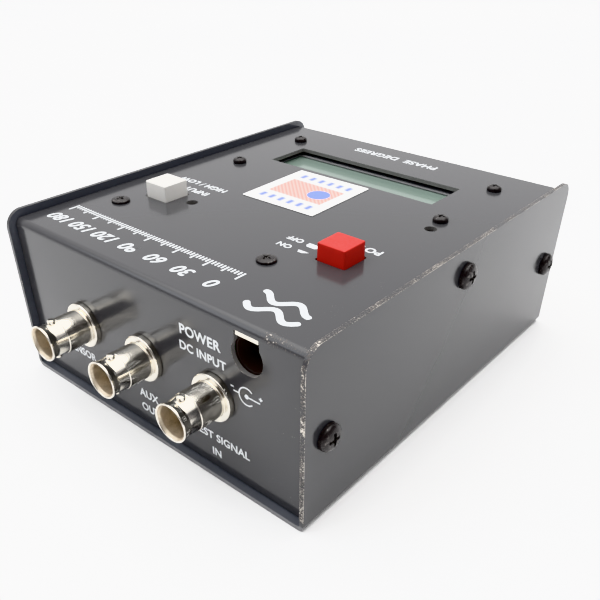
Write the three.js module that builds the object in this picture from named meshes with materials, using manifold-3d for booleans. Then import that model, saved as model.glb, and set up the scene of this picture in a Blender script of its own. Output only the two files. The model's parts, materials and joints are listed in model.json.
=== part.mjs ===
// Pocket antenna phase meter: a two-piece folded steel case with a character display and two
// push buttons on top, and three bayonet coaxial jacks and a power jack on the end panel.
//
// Millimetres. +Z is up, -Y is the connector end, +X is the side nearer the power jack.
// Parts are placed from the cover's lower connector edge; the last lines move the origin to the
// middle of the part's footprint, on the surface it stands on.

import * as THREE from 'three';
import { mergeVertices } from 'three/addons/utils/BufferGeometryUtils.js';
import Module from 'manifold-3d';

const wasm = await Module();
wasm.setup();

// ---- driving dimensions -------------------------------------------------------------------

const CASE = { width: 105, depth: 125, height: 48.8, sheet: 1.2, bend: 2, lip: 2.1, cornerRadius: 5 };
const SEAT = 0.05;            // clearance between faces that are pulled together
const FIT = 0.1;              // radial clearance of a piece in its hole
const SLIP = 0.3;             // clearance between the two halves of the case
const BOARD_SHEET = 1.6;

const TOP = CASE.height - CASE.lip;
const TOP_UNDER = TOP - CASE.sheet;
const FRONT = CASE.lip;
const FRONT_INSIDE = FRONT + CASE.sheet;
const BACK = CASE.depth - CASE.lip;
const CHASSIS_HALF = CASE.width / 2 - CASE.sheet - SLIP;
const CHASSIS_FOOT = CASE.sheet + SLIP;

const SIDE_SCREW = { head: 3.45, headHeight: 2.3, shank: 1.75, length: 7, recess: 1.3 };
const SIDE_SCREW_INSET = 7.6;
const SIDE_SCREWS = {
  front: { y: SIDE_SCREW_INSET, z: 24 },
  middle: { y: CASE.depth / 2, z: 41 },
  rear: { y: CASE.depth - SIDE_SCREW_INSET, z: 24 },
};
const TAB = { end: 9.5, top: 9, relief: 3 };

const DISPLAY = { x: -1, y: 91.6, boardWidth: 80, boardDepth: 36, holesX: 75, holesY: 31, drop: 8.2 };
const BEZEL = {
  width: 71, depth: 26, height: 7, sheet: 0.5, viewWidth: 64.5, viewDepth: 18, glass: 2.2, glassMargin: 2,
};
const WINDOW = { xMin: -32.4, xMax: 28.4, yMin: 85, yMax: 101.2 };
const DISPLAY_SCREW = { head: 2.15, headHeight: 1.6, shank: 1.05, length: 7, recess: 0.9 };

const BOARD = { xMin: -46, xMax: 46, yMin: 5, yMax: 80 };
const BOARD_SCREW = { head: 2.6, headHeight: 1, shank: 1.4, length: 8, recess: 0.6 };
const BOARD_SCREWS = { left: { x: -39.7, y: 28.8 }, right: { x: 17.5, y: 27.5 } };
const HEADER = { pins: 16, pitch: 2.54 };
const BORE_EXCESS = 1;        // how far a cutting tool runs past the face it opens
// Shares of a screw's head radius and height, apart from the tip's length.
const PAN = {
  shoulder: 0.82, shoulderHeight: 0.85, rimHeight: 0.45, tip: 0.7, tipLength: 0.5, slot: 0.28, cross: 1.1,
};
const DISPLAY_STANDOFF = { spigot: 1.5, body: 2.4, boardHole: 1.6 };
const BOARD_STANDOFF = { spigot: 1.9, across: 5, boardHole: 2 };
const SPIGOT_TAIL = 0.4;

const DISPLAY_BOARD_TOP = TOP_UNDER - DISPLAY.drop;
const DISPLAY_BOARD_UNDER = DISPLAY_BOARD_TOP - BOARD_SHEET;
const BOARD_TOP = DISPLAY_BOARD_UNDER - HEADER.pitch - 2 * SEAT;
const BOARD_UNDER = BOARD_TOP - BOARD_SHEET;

const BUTTON = { size: 8.4, proud: 4.4, height: 6.2, corner: 0.7, edge: 0.35, holeSize: 9.2, stemDepth: 3.4 };
const BUTTONS = { power: { x: 30.2, y: 40.1 }, input: { x: -33.6, y: 40.9 } };
const SWITCH = {
  size: 8.5, height: 8, cavity: 6.4, floor: 1, roof: 0.9, stem: 3.2, foot: 5.8, footHeight: 1.3,
};
const SPRING = { radius: 2, wire: 0.2, turns: 4, sides: 5, stepsPerTurn: 10 };

const TRIMMERS = { left: { x: -23.8, y: 41.5 }, right: { x: 37.3, y: 69.8 } };
const TRIMMER = {
  width: 6.6, depth: 7, height: 4.8, rotor: 2.4, rotorHeight: 1.2, stem: 1.2, stemDepth: 2.5,
  slotLength: 3.4, slotWidth: 0.6, slotDepth: 0.7,
};
const CHIP = { body: 6.4, height: 3.3, standOff: 0.6, endTrim: 0.5, legReach: 3.5, leg: 0.9, legHeight: 2.4 };
const CHIPS = { processor: { x: 0, y: 60, legs: 9 }, detector: { x: -8, y: 34, legs: 4 } };
const REGULATOR = {
  x: 0, y: 18, width: 10, bodyDepth: 8.5, bodyLow: 0.5, bodyHigh: 4.4, tabDepth: 15, tabOffset: 4, tab: 1.3,
  hole: 1.8, holeOffset: 8.6, leg: 0.8, legLow: 1.8, legHigh: 2.4, legFar: 9, legNear: 3,
};
const CAPACITOR = { x: 22, y: 15, radius: 4, neck: 3.7, height: 11.2, groove: 1.8, rounding: 0.4 };
const ACCESS_HOLE_RADIUS = 1.7;

const JACKS = { left: -25.1, middle: -0.6, right: 24 };
const JACK = {
  z: 24, reach: 12, rim: 4.85, barrel: 4.85, neck: 4.4, bore: 4.05, boreDepth: 8.6,
  flange: 6.3, flangeThickness: 1.7, thread: 4.6, threadLength: 9, step: 5.8,
  lug: 1, lugReach: 5.5, lugRoot: 4.2, lugFromRim: 3.9,
  insulator: 2.4, insulatorFromRim: 5.2, insulatorTail: 1,
  contact: 1.1, contactBore: 0.7, contactDepth: 4, contactSet: 0.3, tail: 0.8, tailLength: 4,
  nutAcross: 12.7, nutThickness: 2.2, lip: 0.35, lipLength: 0.6, flare: 2.8, edge: 0.3,
};
const JACK_RIM_Y = FRONT - JACK.flangeThickness - JACK.reach;
const JACK_TAIL_Y = FRONT + JACK.threadLength;
const LEAD = { radius: 0.5, bend: 2.2, tail: 3, sides: 6, steps: 9 };

const POWER_JACK = {
  x: 34.8, z: 39.1, hole: 4.6, notchWidth: 7.2, notchTop: 5.5, width: 9.4, length: 14, inset: 0.3,
  bore: 3.9, boreDepth: 9, pin: 1, pinFromFace: 2.8, pinTaper: 0.6, pinTip: 0.5, top: 4.3,
};
// Plated contact on top of the power jack's body, folded up at its front end to fill the notch.
const STRIP = { width: 6.6, length: 10, thickness: 0.4, lip: 1.05, lipInset: 0.15 };

const LABEL = { x: -4.6, y: 69.2, width: 25.8, depth: 27.4, thickness: 0.15, turn: 0.018 };

// ---- materials ----------------------------------------------------------------------------

const PAINTS = {
  enamel: { color: 0x17181a, roughness: 0.25, metalness: 0 },
  blackOxide: { color: 0x111111, roughness: 0.4, metalness: 0.6 },
  nickel: { color: 0xcfc8ba, roughness: 0.18, metalness: 1 },
  gold: { color: 0xc9a24a, roughness: 0.25, metalness: 1 },
  ptfe: { color: 0xe9e4d8, roughness: 0.5, metalness: 0 },
  redPlastic: { color: 0xcc1512, roughness: 0.35, metalness: 0 },
  whitePlastic: { color: 0xece9e2, roughness: 0.4, metalness: 0 },
  switchPlastic: { color: 0x2b4a7d, roughness: 0.5, metalness: 0 },
  springSteel: { color: 0xa9abad, roughness: 0.3, metalness: 1 },
  board: { color: 0x1f5a35, roughness: 0.4, metalness: 0 },
  chip: { color: 0x1b1b1c, roughness: 0.6, metalness: 0 },
  can: { color: 0x24325c, roughness: 0.35, metalness: 0 },
  trimmerBlue: { color: 0x2a62b0, roughness: 0.5, metalness: 0 },
  trimmerRotor: { color: 0xe6e2d6, roughness: 0.5, metalness: 0 },
  aluminium: { color: 0xb9bbbd, roughness: 0.35, metalness: 1 },
  bezel: { color: 0x202124, roughness: 0.4, metalness: 0.4 },
  displayGlass: { color: 0x9db3a2, roughness: 0.1, metalness: 0 },
  jackPlastic: { color: 0x120d0b, roughness: 0.5, metalness: 0 },
  tinned: { color: 0xbfc0c0, roughness: 0.3, metalness: 1 },
  paper: { color: 0xf2f1ee, roughness: 0.6, metalness: 0 },
};

// ---- solid helpers ------------------------------------------------------------------------

// Basis changes: a piece is drawn along its own Z and then laid along a case axis.
const ALONG = {
  x: new THREE.Matrix4().makeBasis(unit(0, 1, 0), unit(0, 0, 1), unit(1, 0, 0)),
  y: new THREE.Matrix4().makeBasis(unit(0, 0, 1), unit(1, 0, 0), unit(0, 1, 0)),
  z: new THREE.Matrix4(),
  minusX: new THREE.Matrix4().makeBasis(unit(0, 0, 1), unit(0, 1, 0), unit(-1, 0, 0)),
};

function unit(x, y, z) {
  return new THREE.Vector3(x, y, z);
}

function solid(geometry) {
  const bare = geometry.clone();
  bare.deleteAttribute('normal');
  bare.deleteAttribute('uv');
  const merged = mergeVertices(bare, 1e-4);
  return new wasm.Manifold(new wasm.Mesh({
    numProp: 3,
    vertProperties: Float32Array.from(merged.attributes.position.array),
    triVerts: Uint32Array.from(merged.index.array),
  }));
}

function cut(body, ...tools) {
  return tools.reduce((result, tool) => result.subtract(tool), body);
}

function join(body, ...others) {
  return others.reduce((result, other) => result.add(other), body);
}

function box(x0, x1, y0, y1, z0, z1) {
  const geometry = new THREE.BoxGeometry(x1 - x0, y1 - y0, z1 - z0);
  geometry.translate((x0 + x1) / 2, (y0 + y1) / 2, (z0 + z1) / 2);
  return solid(geometry);
}

function centredBox(x, y, width, depth, z0, z1) {
  return box(x - width / 2, x + width / 2, y - depth / 2, y + depth / 2, z0, z1);
}

// Facets around a turned piece, more on a wider one.
function facets(radius) {
  if (radius > 4) return 24;
  return radius > 2 ? 16 : 12;
}

// Turned piece: profile points are [radius, distance along the axis], from axis to axis.
function turned(profile, axis, at, segments) {
  const points = profile.map(([radius, along]) => new THREE.Vector2(radius, along));
  const widest = Math.max(...profile.map(([radius]) => radius));
  const geometry = new THREE.LatheGeometry(points, segments ?? facets(widest));
  geometry.rotateX(Math.PI / 2);
  geometry.applyMatrix4(ALONG[axis]);
  geometry.translate(at.x, at.y, at.z);
  return solid(geometry);
}

function rod(radius, from, to, axis, at, segments) {
  return turned([[0, from], [radius, from], [radius, to], [0, to]], axis, at, segments);
}

function tube(outer, inner, from, to, axis, at) {
  return turned([[inner, from], [outer, from], [outer, to], [inner, to], [inner, from]], axis, at);
}

function hexPrism(across, from, to, axis, at) {
  return rod(across / Math.sqrt(3), from, to, axis, at, 6);
}

function roundedSquare(size, corner) {
  const half = size / 2;
  const shape = new THREE.Shape();
  shape.absarc(half - corner, half - corner, corner, 0, Math.PI / 2);
  shape.absarc(corner - half, half - corner, corner, Math.PI / 2, Math.PI);
  shape.absarc(corner - half, corner - half, corner, Math.PI, 1.5 * Math.PI);
  shape.absarc(half - corner, corner - half, corner, 1.5 * Math.PI, 2 * Math.PI);
  return shape;
}

// ---- sheet metal --------------------------------------------------------------------------

// Section of a sheet folded into a U that opens downwards: half width, top height, foot height.
function foldedSection(half, top, foot) {
  const outer = CASE.bend;
  const inner = CASE.bend - CASE.sheet;
  const shape = new THREE.Shape();
  shape.moveTo(half, foot);
  shape.absarc(half - outer, top - outer, outer, 0, Math.PI / 2);
  shape.absarc(outer - half, top - outer, outer, Math.PI / 2, Math.PI);
  shape.lineTo(-half, foot);
  shape.lineTo(CASE.sheet - half, foot);
  shape.absarc(outer - half, top - outer, inner, Math.PI, Math.PI / 2, true);
  shape.absarc(half - outer, top - outer, inner, Math.PI / 2, 0, true);
  shape.lineTo(half - CASE.sheet, foot);
  return shape;
}

function extrudedAlong(shape, length, axis, steps = 4) {
  const options = { depth: length, bevelEnabled: false, curveSegments: steps };
  const geometry = new THREE.ExtrudeGeometry(shape, options);
  geometry.applyMatrix4(ALONG[axis]);
  return geometry;
}

function caseCover() {
  // The U is drawn opening downwards, then turned over to open upwards and run along +Y.
  const section = foldedSection(CASE.width / 2, CASE.height, 0);
  const options = { depth: CASE.depth, bevelEnabled: false, curveSegments: 4 };
  const geometry = new THREE.ExtrudeGeometry(section, options);
  geometry.rotateX(-Math.PI / 2);
  geometry.translate(0, 0, CASE.height);
  let body = solid(geometry).intersect(sidePanelOutline());
  for (const side of [-1, 1]) {
    for (const place of Object.values(SIDE_SCREWS)) {
      const at = { x: 0, y: place.y, z: place.z };
      const wall = side * (CASE.width / 2 - CASE.sheet / 2);
      body = cut(body, rod(SIDE_SCREW.shank + FIT, wall - CASE.sheet, wall + CASE.sheet, 'x', at));
    }
  }
  return body;
}

// Side view of the cover, with its two upper corners rounded, as wide as the case.
function sidePanelOutline() {
  const radius = CASE.cornerRadius;
  const shape = new THREE.Shape();
  shape.moveTo(0, 0);
  shape.lineTo(CASE.depth, 0);
  shape.absarc(CASE.depth - radius, CASE.height - radius, radius, 0, Math.PI / 2);
  shape.absarc(radius, CASE.height - radius, radius, Math.PI / 2, Math.PI);
  const geometry = extrudedAlong(shape, CASE.width + 2 * BORE_EXCESS, 'x', 5);
  geometry.translate(-CASE.width / 2 - BORE_EXCESS, 0, 0);
  return solid(geometry);
}

function caseChassis() {
  const half = (BACK - FRONT) / 2;
  const middle = (BACK + FRONT) / 2;
  const geometry = extrudedAlong(foldedSection(half, TOP, CHASSIS_FOOT), 2 * CHASSIS_HALF, 'x');
  geometry.translate(-CHASSIS_HALF, middle, 0);
  let body = solid(geometry);
  for (const side of [-1, 1]) {
    body = join(body, ...sideTabs(side));
    for (const place of Object.values(SIDE_SCREWS)) {
      const at = { x: 0, y: place.y, z: place.z };
      const wall = side * (CHASSIS_HALF - CASE.sheet / 2);
      body = cut(body, rod(SIDE_SCREW.shank + FIT, wall - CASE.sheet, wall + CASE.sheet, 'x', at));
    }
  }
  return cut(body, ...topPanelHoles(), ...endPanelHoles());
}

// Tabs folded inwards from the two end panels and the top, which the side screws thread into.
function sideTabs(side) {
  const outside = side * CHASSIS_HALF;
  const inside = side * (CHASSIS_HALF - CASE.sheet);
  const x0 = Math.min(outside, inside);
  const x1 = Math.max(outside, inside);
  const low = CHASSIS_FOOT + TAB.relief;
  const high = TOP - TAB.top - TAB.relief;
  return [
    box(x0, x1, FRONT + CASE.sheet / 2, FRONT + TAB.end, low, high),
    box(x0, x1, BACK - TAB.end, BACK - CASE.sheet / 2, low, high),
    box(x0, x1, FRONT + TAB.end, BACK - TAB.end, TOP - TAB.top, TOP - CASE.sheet / 2),
  ];
}

function topPanelHoles() {
  const low = TOP_UNDER - BORE_EXCESS;
  const high = TOP + BORE_EXCESS;
  const holes = [box(WINDOW.xMin, WINDOW.xMax, WINDOW.yMin, WINDOW.yMax, low, high)];
  for (const at of displayScrewPlaces()) {
    holes.push(rod(DISPLAY_SCREW.shank + FIT, low, high, 'z', { ...at, z: 0 }));
  }
  for (const at of Object.values(BOARD_SCREWS)) {
    holes.push(rod(BOARD_SCREW.shank + FIT, low, high, 'z', { ...at, z: 0 }));
  }
  for (const at of Object.values(TRIMMERS)) {
    holes.push(rod(ACCESS_HOLE_RADIUS, low, high, 'z', { ...at, z: 0 }));
  }
  for (const at of Object.values(BUTTONS)) {
    holes.push(centredBox(at.x, at.y, BUTTON.holeSize, BUTTON.holeSize, low, high));
  }
  return holes;
}

function endPanelHoles() {
  const near = FRONT - BORE_EXCESS;
  const far = FRONT_INSIDE + BORE_EXCESS;
  const holes = [];
  for (const jackX of Object.values(JACKS)) {
    holes.push(rod(JACK.thread + FIT, near, far, 'y', { x: jackX, y: 0, z: JACK.z }));
  }
  const { x, z, hole, notchWidth, notchTop } = POWER_JACK;
  holes.push(rod(hole, near, far, 'y', { x, y: 0, z }));
  holes.push(box(x - notchWidth / 2, x + notchWidth / 2, near, far, z, z + notchTop));
  return holes;
}

// ---- fasteners ----------------------------------------------------------------------------

// Pan-head cross-recess screw. The head's seat is at 0 and its crown points along the axis.
function panScrew(size, axis, at) {
  const crown = size.headHeight;
  const shank = [
    [0, -size.length], [size.shank * PAN.tip, -size.length], [size.shank, PAN.tipLength - size.length],
    [size.shank, 0],
  ];
  const head = [
    [size.head, 0], [size.head, crown * PAN.rimHeight],
    [size.head * PAN.shoulder, crown * PAN.shoulderHeight], [0, crown],
  ];
  const body = turned([...shank, ...head], 'z', { x: 0, y: 0, z: 0 });
  const slotWidth = size.head * PAN.slot;
  const slotLength = size.head * PAN.cross;
  const floor = crown - size.recess;
  const recess = join(
    centredBox(0, 0, slotLength, slotWidth, floor, crown + BORE_EXCESS),
    centredBox(0, 0, slotWidth, slotLength, floor, crown + BORE_EXCESS),
  );
  const placed = geometryOf(cut(body, recess));
  placed.applyMatrix4(ALONG[axis]);
  placed.translate(at.x, at.y, at.z);
  return solid(placed);
}

function displayScrewPlaces() {
  const places = [];
  for (const sideX of [-1, 1]) {
    for (const sideY of [-1, 1]) {
      places.push({ x: DISPLAY.x + sideX * DISPLAY.holesX / 2, y: DISPLAY.y + sideY * DISPLAY.holesY / 2 });
    }
  }
  return places;
}

// Round threaded spacer with a spigot that is riveted into the board below it.
function displayStandoff(at) {
  const { spigot, body } = DISPLAY_STANDOFF;
  const below = DISPLAY_BOARD_UNDER - SPIGOT_TAIL;
  const shoulder = DISPLAY_BOARD_TOP + SEAT;
  const bore = DISPLAY_SCREW.shank + FIT;
  const profile = [
    [bore, below], [spigot, below], [spigot, shoulder], [body, shoulder],
    [body, TOP_UNDER - SEAT], [bore, TOP_UNDER - SEAT], [bore, below],
  ];
  return turned(profile, 'z', { ...at, z: 0 });
}

function boardStandoff(at) {
  const bore = BOARD_SCREW.shank + FIT;
  const place = { ...at, z: 0 };
  const hex = hexPrism(BOARD_STANDOFF.across, BOARD_TOP + SEAT, TOP_UNDER - SEAT, 'z', place);
  const tail = rod(BOARD_STANDOFF.spigot, BOARD_UNDER - SPIGOT_TAIL, BOARD_TOP + BORE_EXCESS, 'z', place);
  return cut(join(hex, tail), rod(bore, BOARD_UNDER - BORE_EXCESS, TOP, 'z', place));
}

// ---- display ------------------------------------------------------------------------------

function displayBoard() {
  const body = centredBox(DISPLAY.x, DISPLAY.y, DISPLAY.boardWidth, DISPLAY.boardDepth,
    DISPLAY_BOARD_UNDER, DISPLAY_BOARD_TOP);
  const holes = displayScrewPlaces().map((at) => rod(DISPLAY_STANDOFF.boardHole,
    DISPLAY_BOARD_UNDER - BORE_EXCESS, DISPLAY_BOARD_TOP + BORE_EXCESS, 'z', { ...at, z: 0 }));
  return cut(body, ...holes);
}

const BEZEL_TOP = DISPLAY_BOARD_TOP + SEAT + BEZEL.height;

function displayBezel() {
  const inner = 2 * BEZEL.sheet;
  const low = DISPLAY_BOARD_TOP + SEAT;
  const shell = centredBox(DISPLAY.x, DISPLAY.y, BEZEL.width, BEZEL.depth, low, BEZEL_TOP);
  const hollow = centredBox(DISPLAY.x, DISPLAY.y, BEZEL.width - inner, BEZEL.depth - inner,
    low - BORE_EXCESS, BEZEL_TOP - BEZEL.sheet);
  const view = centredBox(DISPLAY.x, DISPLAY.y, BEZEL.viewWidth, BEZEL.viewDepth,
    low - BORE_EXCESS, BEZEL_TOP + BORE_EXCESS);
  return cut(shell, hollow, view);
}

function displayGlass() {
  const high = BEZEL_TOP - BEZEL.sheet - SEAT;
  const { width, depth, glass, glassMargin } = BEZEL;
  return centredBox(DISPLAY.x, DISPLAY.y, width - glassMargin, depth - glassMargin, high - glass, high);
}

function displayHeader() {
  const y = DISPLAY.y - DISPLAY.boardDepth / 2 + HEADER.pitch;
  const low = BOARD_TOP + SEAT;
  const high = DISPLAY_BOARD_UNDER - SEAT;
  return centredBox(DISPLAY.x, y, HEADER.pins * HEADER.pitch, HEADER.pitch, low, high);
}

// ---- main board ---------------------------------------------------------------------------

function mainBoard() {
  const body = box(BOARD.xMin, BOARD.xMax, BOARD.yMin, BOARD.yMax, BOARD_UNDER, BOARD_TOP);
  const holes = Object.values(BOARD_SCREWS).map((at) => rod(BOARD_STANDOFF.boardHole,
    BOARD_UNDER - BORE_EXCESS, BOARD_TOP + BORE_EXCESS, 'z', { ...at, z: 0 }));
  return cut(body, ...holes);
}

// Dual in-line chip: a moulded body with a row of bent legs down each long side.
function dipChip({ x, y, legs }) {
  const low = BOARD_TOP + SEAT;
  const bodyLow = low + CHIP.standOff;
  const length = legs * HEADER.pitch - CHIP.endTrim;
  let chip = centredBox(x, y, length, CHIP.body, bodyLow, bodyLow + CHIP.height);
  for (let leg = 0; leg < legs; leg += 1) {
    const legX = x + (leg - (legs - 1) / 2) * HEADER.pitch;
    for (const side of [-1, 1]) {
      const legY = y + side * CHIP.legReach;
      chip = join(chip, centredBox(legX, legY, CHIP.leg, CHIP.leg, low, low + CHIP.legHeight));
    }
  }
  return chip;
}

// Three-leg regulator lying flat, with its metal tab towards the display.
function regulator() {
  const low = BOARD_TOP + SEAT;
  const { x, y, width, leg } = REGULATOR;
  const high = low + REGULATOR.tab;
  const tab = centredBox(x, y + REGULATOR.tabOffset, width, REGULATOR.tabDepth, low, high);
  const bodyLow = low + REGULATOR.bodyLow;
  const body = centredBox(x, y, width, REGULATOR.bodyDepth, bodyLow, low + REGULATOR.bodyHigh);
  const legs = [-1, 0, 1].map((side) => {
    const middle = x + side * HEADER.pitch;
    return box(middle - leg / 2, middle + leg / 2, y - REGULATOR.legFar, y - REGULATOR.legNear,
      low + REGULATOR.legLow, low + REGULATOR.legHigh);
  });
  const holeAt = { x, y: y + REGULATOR.holeOffset, z: 0 };
  const hole = rod(REGULATOR.hole, low - BORE_EXCESS, high + BORE_EXCESS, 'z', holeAt);
  return cut(join(tab, body, ...legs), hole);
}

// Can with a crimped groove near its foot.
function filterCapacitor() {
  const low = BOARD_TOP + SEAT;
  const high = low + CAPACITOR.height;
  const { x, y, radius, neck, groove, rounding } = CAPACITOR;
  const profile = [
    [0, low], [neck, low], [radius, low + rounding], [radius, low + groove - rounding], [neck, low + groove],
    [radius, low + groove + rounding], [radius, high - rounding], [radius - rounding, high], [0, high],
  ];
  return turned(profile, 'z', { x, y, z: 0 });
}

function trimmerBody(at) {
  const high = BOARD_TOP + TRIMMER.height;
  const body = centredBox(at.x, at.y, TRIMMER.width, TRIMMER.depth, BOARD_TOP + SEAT, high);
  const floor = high - TRIMMER.stemDepth - FIT;
  const socket = rod(TRIMMER.stem + FIT, floor, high + BORE_EXCESS, 'z', { ...at, z: 0 });
  return cut(body, socket);
}

function trimmerRotor(at) {
  const seat = BOARD_TOP + TRIMMER.height + SEAT;
  const crown = seat + TRIMMER.rotorHeight;
  const profile = [
    [0, seat - TRIMMER.stemDepth], [TRIMMER.stem, seat - TRIMMER.stemDepth], [TRIMMER.stem, seat],
    [TRIMMER.rotor, seat], [TRIMMER.rotor, crown], [0, crown],
  ];
  const slot = centredBox(at.x, at.y, TRIMMER.slotLength, TRIMMER.slotWidth,
    crown - TRIMMER.slotDepth, crown + BORE_EXCESS);
  return cut(turned(profile, 'z', { ...at, z: 0 }), slot);
}

// ---- push switches ------------------------------------------------------------------------

const SWITCH_LOW = BOARD_TOP + SEAT;
const SWITCH_HIGH = SWITCH_LOW + SWITCH.height;
const SWITCH_FLOOR = SWITCH_LOW + SWITCH.floor;
const FOOT_HIGH = SWITCH_HIGH - SWITCH.roof - FIT;
const FOOT_LOW = FOOT_HIGH - SWITCH.footHeight;
const CAP_HIGH = TOP + BUTTON.proud;
const CAP_LOW = CAP_HIGH - BUTTON.height;
const STEM_HIGH = CAP_LOW + BUTTON.stemDepth;

function switchBody(at) {
  const shell = centredBox(at.x, at.y, SWITCH.size, SWITCH.size, SWITCH_LOW, SWITCH_HIGH);
  const roof = SWITCH_HIGH - SWITCH.roof;
  const cavity = centredBox(at.x, at.y, SWITCH.cavity, SWITCH.cavity, SWITCH_FLOOR, roof);
  const opening = SWITCH.stem + 4 * FIT;
  const throat = centredBox(at.x, at.y, opening, opening, SWITCH_FLOOR, SWITCH_HIGH + BORE_EXCESS);
  return cut(shell, cavity, throat);
}

function switchPlunger(at) {
  const foot = centredBox(at.x, at.y, SWITCH.foot, SWITCH.foot, FOOT_LOW, FOOT_HIGH);
  const stem = centredBox(at.x, at.y, SWITCH.stem, SWITCH.stem, FOOT_LOW, STEM_HIGH);
  return join(foot, stem);
}

// Square cap with rounded corners and a bevelled top, hollow below for the stem.
function buttonCap(at) {
  const { size, corner, edge, height } = BUTTON;
  const geometry = new THREE.ExtrudeGeometry(roundedSquare(size - 2 * edge, corner - edge), {
    depth: height - 2 * edge, bevelEnabled: true, bevelThickness: edge, bevelSize: edge, bevelSegments: 1,
    curveSegments: 2,
  });
  geometry.translate(at.x, at.y, CAP_LOW + edge);
  const skirt = new THREE.ExtrudeGeometry(roundedSquare(size, corner), {
    depth: 2 * edge, bevelEnabled: false, curveSegments: 2,
  });
  skirt.translate(at.x, at.y, CAP_LOW);
  const socket = SWITCH.stem + 2 * FIT;
  const hollow = centredBox(at.x, at.y, socket, socket, CAP_LOW - BORE_EXCESS, STEM_HIGH + FIT);
  return cut(join(solid(geometry), solid(skirt)), hollow);
}

class Helix extends THREE.Curve {
  constructor(at, low, high) {
    super();
    Object.assign(this, { at, low, high });
  }

  getPoint(t, target = new THREE.Vector3()) {
    const angle = t * SPRING.turns * 2 * Math.PI;
    const x = this.at.x + SPRING.radius * Math.cos(angle);
    const y = this.at.y + SPRING.radius * Math.sin(angle);
    return target.set(x, y, this.low + (this.high - this.low) * t);
  }
}

function wireSection(radius, sides) {
  const corners = [];
  for (let corner = 0; corner < sides; corner += 1) {
    const angle = (corner / sides) * 2 * Math.PI;
    corners.push(new THREE.Vector2(radius * Math.cos(angle), radius * Math.sin(angle)));
  }
  return new THREE.Shape(corners);
}

function returnSpring(at) {
  const clear = SPRING.wire + 2 * SEAT;
  const path = new Helix(at, SWITCH_FLOOR + clear, FOOT_LOW - clear);
  return solid(new THREE.ExtrudeGeometry(wireSection(SPRING.wire, SPRING.sides), {
    steps: SPRING.turns * SPRING.stepsPerTurn, extrudePath: path,
  }));
}

// ---- coaxial jacks ------------------------------------------------------------------------

// Distances are along the jack's axis (case Y), from the open rim inwards.
function jackShell(x) {
  const rim = JACK_RIM_Y;
  const face = FRONT - JACK.flangeThickness;
  const floor = rim + JACK.boreDepth;
  const through = JACK.insulator + FIT;
  const profile = [
    [JACK.bore, rim + JACK.edge], [JACK.bore + JACK.lip, rim], [JACK.rim, rim],
    [JACK.rim, rim + JACK.lipLength],
    [JACK.neck, rim + JACK.flare], [JACK.neck, rim + JACK.step], [JACK.barrel, rim + JACK.step + JACK.edge],
    [JACK.barrel, face], [JACK.flange - JACK.edge, face], [JACK.flange, face + JACK.edge],
    [JACK.flange, FRONT - SEAT], [JACK.thread, FRONT - SEAT], [JACK.thread, JACK_TAIL_Y - JACK.edge],
    [JACK.thread - JACK.edge, JACK_TAIL_Y], [through, JACK_TAIL_Y], [through, floor], [JACK.bore, floor],
    [JACK.bore, rim + JACK.edge],
  ];
  const at = { x, y: 0, z: JACK.z };
  const lugs = [-1, 1].map((side) => {
    const root = side * JACK.lugRoot;
    const crown = side * JACK.lugReach;
    return rod(JACK.lug, Math.min(root, crown), Math.max(root, crown), 'z',
      { x, y: rim + JACK.lugFromRim, z: JACK.z });
  });
  return join(turned(profile, 'y', at), ...lugs);
}

function jackInsulator(x) {
  const near = JACK_RIM_Y + JACK.insulatorFromRim;
  const far = JACK_TAIL_Y + JACK.insulatorTail;
  return tube(JACK.insulator, JACK.contact + FIT, near, far, 'y', { x, y: 0, z: JACK.z });
}

function jackContact(x) {
  const near = JACK_RIM_Y + JACK.insulatorFromRim + JACK.contactSet;
  const shoulder = JACK_TAIL_Y + JACK.insulatorTail;
  const far = JACK_TAIL_Y + JACK.tailLength;
  const profile = [
    [0, near + JACK.contactDepth], [JACK.contactBore, near + JACK.contactDepth], [JACK.contactBore, near],
    [JACK.contact, near], [JACK.contact, shoulder], [JACK.tail, shoulder + JACK.edge], [JACK.tail, far],
    [0, far],
  ];
  return turned(profile, 'y', { x, y: 0, z: JACK.z });
}

function jackNut(x) {
  const near = FRONT_INSIDE + SEAT;
  const at = { x, y: 0, z: JACK.z };
  const far = near + JACK.nutThickness;
  const hex = hexPrism(JACK.nutAcross, near, far, 'y', at);
  return cut(hex, rod(JACK.thread + FIT, near - BORE_EXCESS, far + BORE_EXCESS, 'y', at));
}

// Bare wire from the jack's solder tail up to the board's underside.
function jackLead(x) {
  const start = JACK_TAIL_Y + JACK.tailLength + FIT;
  const turn = start + LEAD.tail;
  const path = new THREE.CurvePath();
  const corner = new THREE.Vector3(x, turn, JACK.z);
  const before = new THREE.Vector3(x, turn - LEAD.bend, JACK.z);
  const after = new THREE.Vector3(x, turn, JACK.z + LEAD.bend);
  path.add(new THREE.LineCurve3(new THREE.Vector3(x, start, JACK.z), before));
  path.add(new THREE.QuadraticBezierCurve3(before, corner, after));
  path.add(new THREE.LineCurve3(after, new THREE.Vector3(x, turn, BOARD_UNDER - FIT)));
  const section = wireSection(LEAD.radius, LEAD.sides);
  return solid(new THREE.ExtrudeGeometry(section, { steps: LEAD.steps, extrudePath: path }));
}

// ---- power jack ---------------------------------------------------------------------------

const POWER_FACE = FRONT_INSIDE + POWER_JACK.inset;

const POWER_BODY_TOP = POWER_JACK.z + POWER_JACK.top;

function powerJackBody() {
  const at = { x: POWER_JACK.x, y: 0, z: POWER_JACK.z };
  const half = POWER_JACK.width / 2;
  const back = POWER_FACE + POWER_JACK.length;
  const shell = box(at.x - half, at.x + half, POWER_FACE, back, BOARD_TOP + SEAT, POWER_BODY_TOP);
  const bore = rod(POWER_JACK.bore, POWER_FACE - BORE_EXCESS, POWER_FACE + POWER_JACK.boreDepth, 'y', at);
  const pinHole = rod(POWER_JACK.pin + FIT, POWER_FACE, back + BORE_EXCESS, 'y', at);
  return cut(shell, bore, pinHole);
}

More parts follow.
